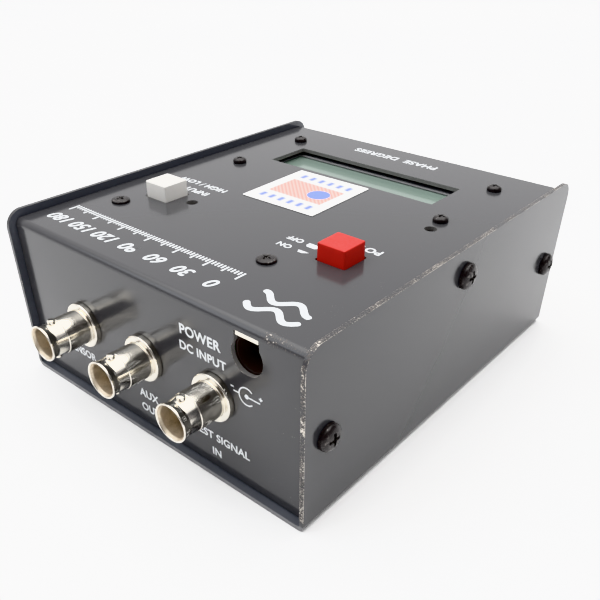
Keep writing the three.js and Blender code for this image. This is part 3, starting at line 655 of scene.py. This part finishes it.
# Colour, roughness and, where they are not the usual ones, scale and depth of the tool marks.
METALS = {
    "standoff_metal": ((0.6, 0.6, 0.61), 0.3),
    "spring_steel": ((0.55, 0.55, 0.55), 0.25),
    "nickel": ((0.83, 0.79, 0.71), 0.13, TURNED_ON_Y, 0.0015),
    "contact_gold": ((0.83, 0.6, 0.24), 0.2, TURNED_ON_Y),
    "tinned_copper": ((0.62, 0.62, 0.62), 0.28, TURNED_ON_Y),
}


def make_finishes():
    """One material for each material slot in the record."""
    finishes = {
        "enamel": enamel("enamel").material,
        "black_oxide": black_oxide(),
        "white_print": white_print(),
        "circuit_board": circuit_board(),
        "display_glass": display_glass(),
    }
    finishes.update({slot: plastic(slot, *values) for slot, values in PLASTICS.items()})
    finishes.update({slot: metal(slot, *values) for slot, values in METALS.items()})
    return finishes


# ---- camera, light and floor ----

CAMERA = {
    "at": (0.11946, -0.13926, 0.11877), "azimuth": 40.157, "elevation": 34.877, "roll": 0.36,
    "sensor": 36, "lens": 41.14, "shift": (0.0085, 0.1195),
}


def add_camera():
    data = bpy.data.cameras.new("camera")
    data.sensor_width = CAMERA["sensor"]
    data.lens = CAMERA["lens"]
    data.shift_x, data.shift_y = CAMERA["shift"]
    data.clip_start = 0.01
    camera = new_object("camera", data)
    turn = Matrix.Rotation(math.radians(CAMERA["azimuth"]), 4, "Z")
    tilt = Matrix.Rotation(math.radians(90 - CAMERA["elevation"]), 4, "X")
    roll = Matrix.Rotation(math.radians(CAMERA["roll"]), 4, "Z")
    camera.matrix_world = Matrix.Translation(CAMERA["at"]) @ turn @ tilt @ roll
    bpy.context.scene.camera = camera


# Patches of the sky: the direction of the middle, where each fades in and is full, and its light.
SKY_PATCHES = (
    ((0.53, -0.63, 0.57), 0.82, 0.93, (0.12, 0.11, 0.11)),
    ((0.55, 0.61, 0.57), 0.92, 0.98, (0.15, 0.14, 0.14)),
    ((-0.54, -0.56, 0.63), 0.92, 0.98, (2.9, 3.0, 3.15)),
)


def add_world():
    """A white room: brightest overhead, with two dark patches on the right and a soft box on the left."""
    world = bpy.data.worlds.new("studio")
    world.use_nodes = True
    bpy.context.scene.world = world
    sky = Shading(world.node_tree)
    direction = sky.node("ShaderNodeTexCoord").outputs["Generated"]

    def patch(middle_at, low, high):
        return sky.remap(sky.vector("DOT_PRODUCT", direction, middle_at, "Value"), low, high)

    horizon = sky.mix(patch((-0.64, 0.77, 0), -0.3, 0.5), (0.5, 0.5, 0.52), (1.18, 1.17, 1.18))
    colour = sky.mix(patch((0, 0, 1), 0.55, 0.9), horizon, (4.3, 4.28, 4.25))
    for middle_at, low, high, light in SKY_PATCHES:
        colour = sky.mix(patch(middle_at, low, high), colour, light)
    sky.feed(sky.tree.nodes["Background"].inputs["Color"], colour)


def add_floor():
    half = 3000
    gap = 0.05
    bm = bmesh.new()
    bmesh.ops.create_grid(bm, x_segments=12, y_segments=12, size=half * MM)
    bmesh.ops.translate(bm, vec=(0, 0, (COVER_LOW.z - gap) * MM), verts=bm.verts)
    mesh = new_mesh("floor", bm)
    mesh.materials.append(floor_paper())
    new_object("floor", mesh)


# ---- case ----

def round_hole(node, axis, radius, low, high):
    """Cutter on a node's axis."""
    at = middle(node)
    flat = {"x": (at.y, at.z), "y": (at.x, at.z), "z": (at.x, at.y)}[axis]
    return prism(circle(radius, flat), low, high, axis)


def screw_hole_radius(node, axis):
    """Hole radius for a screw: a little over its shank."""
    low, high = corners(node)
    head = (high - low)["xyz".index("z" if axis == "x" else "x")] / 2
    return head * SCREW["shank"] + SCREW_HOLE_CLEARANCE


def add_cover():
    """U of sheet steel: the bottom and both sides, with its upper corners rounded."""
    spare = 1
    section = folded_section(COVER_LOW.x, COVER_HIGH.x, COVER_LOW.z, COVER_HIGH.z)
    sheet = prism(section, COVER_LOW.y - spare, COVER_HIGH.y + spare, "y")
    level = COVER_HIGH.z - COVER_CORNER
    outline = [(COVER_LOW.y, COVER_LOW.z - spare), (COVER_HIGH.y, COVER_LOW.z - spare)]
    outline += arc((COVER_HIGH.y - COVER_CORNER, level), COVER_CORNER, 0, 90, 2 * ROUND_STEPS)
    outline += arc((COVER_LOW.y + COVER_CORNER, level), COVER_CORNER, 90, 180, 2 * ROUND_STEPS)
    side_view = prism(outline, COVER_LOW.x - spare, COVER_HIGH.x + spare, "x")
    body = shaped(sheet, keep=[side_view], cut=side_holes())
    edge = cover_edge("enamel_cover_edge", 0.53, 0.1)
    rim = cover_edge("enamel_cover_rim", 0.36, 0.16)
    # The inside takes the paler bluish enamel, a painted reflection of the floor and sky.
    finishes = [FINISHES["enamel"], edge, rim, enamel("enamel_inside_painted_reflection", INSIDE_PAINTED_REFLECTION).material]
    add_piece("cover", body, "enamel", finishes, ["case_cover"], 0.28, cover_face)


def cover_face(face):
    """2 on the sheet's cut edge, at the ends and along the top of the sides, and 3 on its inside."""
    place = face.calc_center_median()
    flat_bottom = abs(face.normal.z) > 0.9 and place.z < COVER_LOW.z + BEND
    if abs(face.normal.x) < 0.1 and not flat_bottom:
        return 2
    inwards = face.normal.x * place.x < 0 or (flat_bottom and face.normal.z > 0)
    return 3 if inwards else 0


def sheet_span(screw):
    """From inside to outside of the two sheets that a side screw passes through."""
    side = math.copysign(1, middle(screw).x)
    return sorted((side * (CHASSIS_HIGH.x - 2 * SHEET), side * (COVER_HIGH.x + SHEET)))


def side_holes():
    """Cutters for the side screws' holes, in both sheets."""
    return [round_hole(node, "x", screw_hole_radius(node, "x"), *sheet_span(node)) for node in SIDE_SCREWS]


def side_tabs():
    """Tabs folded inwards from the end panels and the top, which the side screws hold."""
    front = (CHASSIS_LOW.y + SHEET / 2, CHASSIS_LOW.y + TAB["end"])
    rear = (CHASSIS_HIGH.y - TAB["end"], CHASSIS_HIGH.y - SHEET / 2)
    upper = (front[1], rear[0])
    foot = CHASSIS_LOW.z + TAB["relief"]
    shoulder = CHASSIS_HIGH.z - TAB["top"]
    tabs = []
    for side in (-1, 1):
        outside = side * (CHASSIS_HIGH.x - TAB["inset"])
        low, high = sorted((outside, outside - side * SHEET))
        for span, bottom, top in (
            (front, foot, shoulder - TAB["relief"]),
            (rear, foot, shoulder - TAB["relief"]),
            (upper, shoulder, CHASSIS_HIGH.z - SHEET / 2),
        ):
            size = (span[1] - span[0], top - bottom)
            centre = ((span[0] + span[1]) / 2, (bottom + top) / 2)
            tabs.append(prism(rounded_rectangle(*size, SHEET / 4, centre, 1), low, high, "x"))
    return tabs


def top_holes():
    low, high = TOP_FACE - 2 * SHEET, TOP_FACE + SHEET
    display = middle("display_bezel")
    width = WINDOW["left"] + WINDOW["right"]
    depth = WINDOW["front"] + WINDOW["rear"]
    centre = (display.x - WINDOW["left"] + width / 2, display.y - WINDOW["front"] + depth / 2)
    holes = [prism(rounded_rectangle(width, depth, WINDOW["corner"], centre), low, high)]
    for node in DISPLAY_SCREWS + BOARD_SCREWS:
        holes.append(round_hole(node, "z", screw_hole_radius(node, "z"), low, high))
    for side in TRIMMERS:
        holes.append(round_hole(f"trimmer_rotor_{side}", "z", ACCESS_HOLE_RADIUS, low, high))
    for name in BUTTONS:
        at = middle(f"{name}_button_cap")
        size = BUTTON_HOLE["size"]
        holes.append(prism(rounded_rectangle(size, size, BUTTON_HOLE["corner"], (at.x, at.y)), low, high))
    return holes


def panel_holes():
    low, high = PANEL_FACE - SHEET, PANEL_FACE + 2 * SHEET
    jack_hole = JACK["thread"] + SCREW_HOLE_CLEARANCE
    holes = [round_hole(f"{side}_jack_shell", "y", jack_hole, low, high) for side in JACK_SIDES]
    x, z = middle("power_jack_body").x, middle("power_jack_pin").z
    holes.append(prism(circle(POWER_HOLE["radius"], (x, z)), low, high, "y"))
    top = POWER_HOLE["top"]
    notch = rounded_rectangle(POWER_HOLE["notch_width"], top, 0.3, (x, z + top / 2), 3)
    holes.append(prism(notch, low, high, "y"))
    return holes


def add_chassis():
    """Inverted U of sheet steel: the top and both end panels."""
    section = folded_section(CHASSIS_LOW.y, CHASSIS_HIGH.y, CHASSIS_HIGH.z, CHASSIS_LOW.z)
    sheet = prism(section, CHASSIS_LOW.x, CHASSIS_HIGH.x, "x")
    body = shaped(sheet, join=side_tabs(), cut=top_holes() + panel_holes() + side_holes())
    # The third finish paints the hole walls a paler grey: thin paint, and a painted reflection of the sky.
    finishes = [chassis_paint(), chassis_edge(), CUT_EDGE_AND_PAINTED_SHEEN]
    add_piece("chassis", body, "enamel", finishes, ["case_chassis"], 0.15, chassis_face)


def chassis_face(face):
    """2 on the walls of the power hole and of the holes in the top: a paler grey for their thin paint, with a
    painted reflection of the sky.
    """
    place = face.calc_center_median()
    socket = Vector((middle("power_jack_body").x, place.y, middle("power_jack_pin").z))
    in_panel = PANEL_FACE < place.y < PANEL_FACE + SHEET and abs(face.normal.y) < 0.1
    in_hole = in_panel and (place - socket).length < 1.5 * POWER_HOLE["radius"]
    in_top = TOP_FACE - SHEET < place.z < TOP_FACE and abs(face.normal.z) < 0.1
    return 2 if in_hole or (in_top and abs(place.x) < CHASSIS_HIGH.x - SHEET) else 0


# ---- screws ----

def screw_profile(head, height, length):
    """Pan-head screw: pointed, ringed like a thread, with a domed head; its seat is at 0."""
    shank = head * SCREW["shank"]
    pitch = shank * THREAD["pitch"]
    root = shank * THREAD["root"]
    turns = int((length - shank) / pitch)
    profile = [(0, -length), (root * 0.6, -length)]
    for turn in range(turns):
        crest = -length + shank * 0.6 + turn * pitch
        profile += [(root, crest - pitch / 2), (shank, crest)]
    profile += [(root, -pitch / 2), (root, 0)]
    rim = head * SCREW["rim"]
    wall = height * SCREW["wall"]
    profile += [(rim, 0), (head, height * 0.08), (head, wall)]
    steps = 12
    for step in range(1, steps):
        angle = math.pi / 2 * step / steps
        profile.append((head * math.cos(angle) ** 0.8, wall + (height - wall) * math.sin(angle)))
    return profile + [(0, height)]


def cross_recess(head, height, depth, axis, at, way):
    """Two crossing tapered wings that cut a Phillips recess."""
    wings = []
    for turn in (0, 90):
        levels = []
        for share, drop in ((1.25, -1.0), (1.0, 0.0), (0.42, 1.0)):
            length = head * SCREW["wing"] * share
            width = head * SCREW["wing_width"] * (0.5 + share / 2)
            outline = rounded_rectangle(length, width, head * 0.05, steps=2)
            spin = Matrix.Rotation(math.radians(turn), 2)
            turned = [tuple(spin @ Vector(point)) for point in outline]
            levels.append((turned, way * (height - drop * depth)))
        wing = stacked(levels, axis)
        bmesh.ops.translate(wing, vec=at, verts=wing.verts)
        wings.append(wing)
    return wings


def add_screw(node, axis, seat, way):
    """Screw whose head sits on a face at seat and looks along its axis, forwards or backwards."""
    low, high = corners(node)
    index = "xyz".index(axis)
    head = (high - low)[(index + 1) % 3] / 2
    crown = high[index] if way > 0 else low[index]
    tip = low[index] if way > 0 else high[index]
    height = abs(crown - seat)
    at = middle(node)
    at[index] = seat
    body = lathe(screw_profile(head, height, abs(seat - tip)), axis, at, 48, way)
    recess = cross_recess(head, height, height * SCREW["recess"], axis, at, way)

    def in_recess(face):
        place = face.calc_center_median() - at
        outwards = way * place[index]
        place[index] = 0
        return outwards > 0 and place.length < 0.62 * head and abs(face.normal[index]) < 0.5

    body = shaped(body, cut=recess)
    finishes = [FINISHES["black_oxide"], DRIVER_WEAR]
    add_piece(f"{node}_turned", body, "black_oxide", finishes, [node], 0.08, in_recess)


def add_screws():
    gap = 0.05
    for node in SIDE_SCREWS:
        side = math.copysign(1, middle(node).x)
        add_screw(node, "x", side * (COVER_HIGH.x + gap), side)
    for node in DISPLAY_SCREWS + BOARD_SCREWS:
        add_screw(node, "z", TOP_FACE + gap, 1)


# ---- display ----

def add_display():
    """Pressed bezel with its window, and the liquid crystal cell behind it."""
    low, high = corners("display_bezel")
    centre = flat_middle(low, high)
    size = (high.x - low.x, high.y - low.y)
    wall = DISPLAY["wall"]
    corner = DISPLAY["view_corner"]
    shell = prism(rounded_rectangle(*size, DISPLAY["corner"], centre), low.z, high.z)
    inner = rounded_rectangle(size[0] - 2 * wall, size[1] - 2 * wall, corner, centre)
    hollow = prism(inner, low.z - 1, high.z - wall)
    opening = prism(rounded_rectangle(*DISPLAY["view"], corner, centre), low.z - 1, high.z + 1)
    bezel = shaped(shell, cut=[hollow, opening])
    add_piece("display_frame", bezel, "display_bezel", replaces=["display_bezel"], bevel=0.15)
    low, high = corners("display_glass")
    cell = prism(rounded_rectangle(high.x - low.x, high.y - low.y, 0.3, centre, 2), low.z, high.z)
    add_piece("display_cell", cell, "display_glass", replaces=["display_glass"], bevel=0.15)


# ---- buttons ----

def add_button(name, slot):
    """Square moulded cap with rounded edges, a little draft and a socket for its plunger."""
    low, high = corners(f"{name}_button_cap")
    centre = flat_middle(low, high)
    size = high.x - low.x
    levels = []

    def level(inset, height):
        corner = max(CAP["corner"] - inset * 0.6, 0.1)
        levels.append((rounded_rectangle(size - 2 * inset, size - 2 * inset, corner, centre, 6), height))

    steps = 6
    level(CAP["foot"], low.z)
    level(0.0, low.z + CAP["foot"])
    for step in range(steps + 1):
        angle = math.pi / 2 * step / steps
        inset = CAP["draft"] + CAP["edge"] * (1 - math.cos(angle))
        level(inset, high.z - CAP["edge"] * (1 - math.sin(angle)))
    level(CAP["edge"] + 1.2, high.z)
    opening = rounded_rectangle(CAP["socket"], CAP["socket"], 0.3, centre, 2)
    socket = prism(opening, low.z - 1, low.z + CAP["socket_depth"])
    cap = shaped(stacked(levels), cut=[socket])
    add_piece(f"{name}_cap", cap, slot, replaces=[f"{name}_button_cap"], body=f"{name}_button")


# ---- jacks ----

def thread_profile(radius, start, end, pitch):
    """Thread crests and roots as rings, from start to end."""
    turns = int((end - start) / pitch)
    step = (end - start) / turns
    points = []
    for turn in range(turns):
        points += [(radius * 0.93, start + step * turn), (radius, start + step * (turn + 0.5))]
    return points + [(radius * 0.93, end)]


def add_jack(side):
    """Bayonet coaxial jack: flared rim, two lugs, stepped barrel, round flange and threaded tail."""
    low, high = corners(f"{side}_jack_shell")
    at = Vector((middle(f"{side}_jack_shell").x, low.y, middle(f"{side}_jack_shell").z))
    flange = (high.x - low.x) / 2
    tail = high.y - low.y
    back = PANEL_FACE - low.y
    face = back - JACK["flange_thickness"]
    insulator_low, insulator_high = corners(f"{side}_jack_insulator")
    core = (insulator_high.x - insulator_low.x) / 2
    rim, bore, neck, barrel, step = (JACK[name] for name in ("rim", "bore", "neck", "barrel", "step"))
    outside = filleted([
        (bore, JACK["bore_depth"] / 2), (bore, 0.9), (bore + 0.42, 0.12), (rim - 0.16, 0), (rim, 0.16),
        (rim, JACK["lip"]), (neck + 0.05, JACK["flare"] - 0.5), (neck, JACK["flare"]),
        (barrel - 0.12, step - 0.15), (barrel - 0.12, step), (barrel, step + 0.12), (barrel, face),
        (flange - 0.25, face), (flange, face + 0.25), (flange, back - 0.05), (JACK["thread"], back - 0.05),
    ], 0.14)
    thread = thread_profile(JACK["thread"], back + 0.4, tail - 0.4, JACK["thread_pitch"])
    inside = [
        (JACK["thread"] - 0.5, tail), (core + 0.1, tail), (core + 0.1, JACK["bore_depth"]),
        (bore, JACK["bore_depth"]), (bore, JACK["bore_depth"] / 2),
    ]
    shell = lathe(outside + thread + inside, "y", at)

    def in_bore(face):
        place = face.calc_center_median() - at
        return math.hypot(place.x, place.z) < bore + 0.25 and place.y < JACK["bore_depth"] + 0.1

    lugs = [jack_lug(at, way) for way in (-1, 1)]
    body = shaped(shell, join=lugs)
    finishes = [FINISHES["nickel"], BORE_PLATING]
    add_piece(f"{side}_jack_body", body, "nickel", finishes, [f"{side}_jack_shell"], pick=in_bore)
    add_insulator(side, at)
    add_contact(side, at)


def jack_lug(at, way):
    """Round bayonet lug with a crowned end."""
    radius = JACK["lug"]
    reach = JACK["lug_reach"]
    root = JACK["neck"] - 0.3
    edge = 0.2
    profile = [(0, root), (radius, root), (radius, reach - edge)]
    profile += [(radius - edge * 0.3, reach - edge * 0.3), (radius - edge, reach), (0, reach)]
    return lathe(profile, "z", at + Vector((0, JACK["lug_back"], 0)), 32, way)


def add_insulator(side, at):
    """White sleeve with a shallow counterbore round the contact."""
    low, high = corners(f"{side}_jack_insulator")
    radius = (high.x - low.x) / 2
    bore, depth = INSULATOR["bore"], INSULATOR["counterbore_depth"]
    wide = bore + INSULATOR["counterbore"]
    start, end = low.y - at.y, high.y - at.y
    middle_along = (start + end) / 2
    profile = filleted([
        (bore, middle_along), (bore, start + depth), (wide, start + depth), (wide, start),
        (radius, start), (radius, end), (bore, end), (bore, middle_along),
    ], 0.1)
    sleeve = lathe(profile, "y", at, 64)
    add_piece(f"{side}_jack_sleeve", sleeve, "ptfe", replaces=[f"{side}_jack_insulator"])


def add_contact(side, at):
    """Gold centre contact with four slots and a solder tail."""
    low, high = corners(f"{side}_jack_contact")
    radius = (high.x - low.x) / 2
    start, end = low.y - at.y, high.y - at.y
    sleeve_end = corners(f"{side}_jack_insulator")[1].y - at.y
    bore, depth, tail = CONTACT["bore"], start + CONTACT["bore_depth"], CONTACT["tail"]
    profile = filleted([
        (0, depth), (bore, depth), (bore, start + 0.2), (bore + 0.2, start), (radius, start + 0.3),
        (radius, sleeve_end), (tail, sleeve_end + 0.3), (tail, end), (0, end),
    ], 0.08)
    slots = []
    for u, v in ((radius + 1, CONTACT["slot"]), (CONTACT["slot"], radius + 1)):
        outline = [(at.x - u, at.z - v), (at.x + u, at.z - v), (at.x + u, at.z + v), (at.x - u, at.z + v)]
        slots.append(prism(outline, at.y + start - 1, at.y + start + CONTACT["slot_depth"], "y"))
    body = shaped(lathe(profile, "y", at, 48), cut=slots)
    add_piece(f"{side}_jack_pin", body, "contact_gold", replaces=[f"{side}_jack_contact"])


def add_power_jack():
    """Moulded socket behind the panel, with a round mouth and its centre pin."""
    low, high = corners("power_jack_body")
    pin_low, pin_high = corners("power_jack_pin")
    pin_at = middle("power_jack_pin")
    centre = ((low.x + high.x) / 2, (low.z + high.z) / 2)
    block = prism(rounded_rectangle(high.x - low.x, high.z - low.z, 0.5, centre, 3), low.y, high.y, "y")
    at = Vector((pin_at.x, low.y, pin_at.z))
    wide, bore, depth = SOCKET["mouth"], SOCKET["bore"], SOCKET["bore_depth"]
    mouth = lathe([(0, -1), (wide, -1), (wide, 0.3), (bore, 0.9), (bore, depth), (0, depth)], "y", at, 64)
    radius = (pin_high.x - pin_low.x) / 2
    through = prism(circle(radius + 0.1, (at.x, at.z)), low.y, high.y + 1, "y")
    body = shaped(block, cut=[mouth, through])
    add_piece("power_socket_block", body, "moulded_black", replaces=["power_jack_body"], bevel=0.12)
    start, end = pin_low.y - at.y, pin_high.y - at.y
    tip = [(0, start), (radius * 0.7, start), (radius, start + 0.6)]
    pin = lathe(filleted([*tip, (radius, end), (0, end)], 0.25), "y", at, 32)
    add_piece("power_socket_pin", pin, "tinned_copper", replaces=["power_jack_pin"])
    add_socket_strip()


def add_socket_strip():
    """Plated contact along the top of the socket, its front end folded up into the panel's notch."""
    low, high = corners("power_jack_strip")
    sheet = SOCKET["strip"]
    section = [
        (low.y, low.z), (high.y, low.z), (high.y, low.z + sheet), (low.y + sheet, low.z + sheet),
        (low.y + sheet, high.z), (low.y, high.z),
    ]
    folded = prism(section, low.x, high.x, "x")
    add_piece("power_socket_strip", folded, "nickel", replaces=["power_jack_strip"], bevel=0.08)


# ---- label and printing ----

PRINT_LIFT = 0.015
PRINT_THICKNESS = 0.03
# Height of a capital in the built-in font, as a share of its size.
CAPITAL_HEIGHT = 0.73

# Where the top print's right and up point, and where the panel print's do.
FACINGS = {
    "top": Matrix(((-1, 0, 0), (0, -1, 0), (0, 0, 1))),
    "panel": Matrix(((1, 0, 0), (0, 0, -1), (0, 1, 0))),
}


def add_label():
    """Paper label, a little out of square with the case, its corners barely rounded."""
    low, high = corners("top_label")
    spin = Matrix.Rotation(LABEL["turn"], 2)
    centre = flat_middle(low, high)
    square = rounded_rectangle(LABEL["width"], LABEL["depth"], 0.4, steps=3)
    outline = [tuple(spin @ Vector(point) + Vector(centre)) for point in square]
    sticker = prism(outline, low.z, high.z)
    add_piece("top_sticker", sticker, "white_print", [label_paper()], ["top_label"])


def laid_print(bm, facing, at):
    """Turns a flat print to its face, and lifts it just off the surface."""
    turn = FACINGS[facing].to_4x4()
    bmesh.ops.transform(bm, matrix=Matrix.Translation(at) @ turn, verts=bm.verts)
    return bm


def plate(outline):
    return prism(outline, PRINT_LIFT, PRINT_LIFT + PRINT_THICKNESS)


def stroke(points, width, round_ends=False):
    return plate(ribbon(points, width, round_ends))


def add_print(name, parts):
    add_piece(name, merged(*parts), "white_print")


def lettering(words, height, anchor="LEFT", weight=0.022, slant=0.0):
    """Flat characters of that height, standing on a line through the origin."""
    curve = bpy.data.curves.new("lettering", "FONT")
    curve.body = words
    curve.align_x = anchor
    curve.offset = weight
    curve.shear = slant
    curve.space_character = 1.04
    curve.extrude = 0.5
    curve.resolution_u = 6
    item = new_object("lettering", curve)
    bm = baked(item, 1e-5)
    bpy.data.objects.remove(item)
    scale = height / CAPITAL_HEIGHT
    bmesh.ops.scale(bm, vec=(scale, scale, PRINT_THICKNESS), verts=bm.verts)
    bmesh.ops.translate(bm, vec=(0, 0, PRINT_LIFT + PRINT_THICKNESS / 2), verts=bm.verts)
    return finished(bm)


def add_scale():
    """Degree scale along the connector edge: bold slanted numbers over a row of ticks."""
    x, back = SCALE["numbers_at"]
    numbers = []
    for index in range(SCALE["numbers"]):
        number = lettering(str(SCALE["degrees"] * index), SCALE["height"], "CENTER", 0.018, 0.25)
        numbers.append(laid_print(number, "top", on_top(x - SCALE["number_pitch"] * index, back)))
    add_print("print_scale_numbers", numbers)
    x, back = SCALE["ticks_at"]
    ticks = []
    for index in range(SCALE["ticks"]):
        length = SCALE["tens" if index % 10 == 0 else "fives" if index % 5 == 0 else "ones"]
        tick = stroke([(0, 0), (0, length)], SCALE["line"])
        ticks.append(laid_print(tick, "top", on_top(x - SCALE["tick_pitch"] * index, back)))
    add_print("print_scale_ticks", ticks)


def wave(phase, level):
    """A sine wave about a level, starting at that share of a cycle."""
    shares = [step / 60 for step in range(61)]
    angles = [2 * math.pi * (PHASE_MARK["cycles"] * share + phase) for share in shares]
    return [
        (PHASE_MARK["width"] * (share - 0.5), level + PHASE_MARK["height"] / 2 * math.sin(angle))
        for share, angle in zip(shares, angles)
    ]


def add_phase_mark():
    """Generic sign for two signals out of phase: one wave over another, a quarter cycle apart."""
    level, line = PHASE_MARK["level"], PHASE_MARK["line"]
    waves = [stroke(wave(0.0, level), line, True), stroke(wave(0.25, -level), line, True)]
    add_print("print_phase_mark", [laid_print(merged(*waves), "top", on_top(*PHASE_MARK["at"]))])


def push_sign(pressed):
    """Plan sign of a push button: a raised block, or a flat bar with a shoulder."""
    if pressed:
        return plate([(-1.7, -0.35), (1.7, -0.35), (1.1, 0.75), (-0.2, 0.75)])
    return plate([(-1.8, -0.9), (1.8, -0.9), (1.8, 0.5), (1.2, 1.1), (-1.2, 1.1), (-1.8, 0.5)])


def add_button_words():
    """Words and push signs beside the two buttons."""
    beside_power = middle("power_button_cap").x + 6.3
    words = [
        laid_print(lettering(text, height), "top", on_top(x, back))
        for text, height, x, back in (
            ("ON", 2.0, 17.1, 37.9), ("OFF", 2.0, 17.4, 42.3), ("POWER", 2.6, beside_power, 49.6),
            ("INPUT", 2.4, -24.6, 49.5), ("HIGH / LOW", 2.4, -22.4, 54.6),
        )
    ]
    signs = [
        laid_print(push_sign(pressed), "top", on_top(x, back))
        for pressed, x, back in ((True, 21.0, 36.9), (False, 20.9, 41.0))
    ]
    add_print("print_button_words", words + signs)


def add_display_words():
    words = lettering("PHASE  DEGREES", 3.0, "CENTER", 0.02)
    add_print("print_display_words", [laid_print(words, "top", on_top(-2.2, 113.8))])


def polarity_sign():
    """Centre-positive sign: an open ring joined to minus, and a centre dot joined to plus."""
    line = 0.34
    ring = stroke(arc((0, 0), 2.3, 45, 315, 24), line)
    lead = stroke([(-4, 0), (-2.2, 0)], line)
    minus = stroke([(-4.8, 1), (-3.9, 1)], line)
    centre = stroke([(0, 0), (4, 0)], line)
    dot = plate(circle(0.6, (0, 0), 24))
    plus = shaped(stroke([(3.7, 1.2), (4.7, 1.2)], line), join=[stroke([(4.2, 0.7), (4.2, 1.7)], line)])
    return merged(shaped(ring, join=[lead]), minus, shaped(centre, join=[dot]), plus)


def add_panel_words():
    """Words and the polarity sign on the connector panel."""
    words = [
        laid_print(lettering(text, height, anchor), "panel", on_panel(x, z))
        for text, height, anchor, x, z in (
            ("POWER", 2.7, "LEFT", 13.6, 36.9), ("DC INPUT", 2.35, "LEFT", 13.1, 32.6),
            ("TEST SIGNAL", 2.3, "RIGHT", 34.4, 9.9), ("IN", 2.3, "LEFT", 21.6, 5.1),
            ("AUX", 2.5, "LEFT", -5.2, 10.2), ("OUT", 2.4, "LEFT", -5.2, 5.6),
            ("SENSOR", 2.4, "RIGHT", -23.8, 12.1),
        )
    ]
    words.append(laid_print(polarity_sign(), "panel", on_panel(34.3, 28.6)))
    add_print("print_panel_words", words)


# ---- carried-over nodes ----

def finish_frame_nodes():
    """Gives every CAD node that still shows its slot's finish and softer edges."""
    deforming = {row["node"] for joint in frame["joints"] for row in joint.get("deforming_nodes", [])}
    for row in frame["record"]["subparts"]:
        node = frame["nodes"][row["node"]]
        node.data.materials.clear()
        node.data.materials.append(FINISHES[row["material_slot"]])
        if node.hide_render:
            continue
        add_smoothing(node.data)
        if row["node"] not in deforming:
            add_bevel(node, 0.1, segments=2)


# ---- assembly ----

bpy.context.scene.view_settings.view_transform = "Khronos PBR Neutral"
add_camera()
add_world()
add_floor()
FINISHES = make_finishes()
DRIVER_WEAR = driver_wear()
# Paler grey for the hole walls: thinly painted cut edges, with a painted reflection of the sky in their gloss.
CUT_EDGE_AND_PAINTED_SHEEN = plastic("enamel_cut_edge_and_painted_sheen", (0.2, 0.195, 0.19), 0.4)
BORE_PLATING = metal("nickel_bore", (0.66, 0.58, 0.47), 0.55)
add_cover()
add_chassis()
add_screws()
add_display()
add_button("power", "red_plastic")
add_button("input", "white_plastic")
for jack_side in JACK_SIDES:
    add_jack(jack_side)
add_power_jack()
add_label()
add_scale()
add_phase_mark()
add_button_words()
add_display_words()
add_panel_words()
finish_frame_nodes()
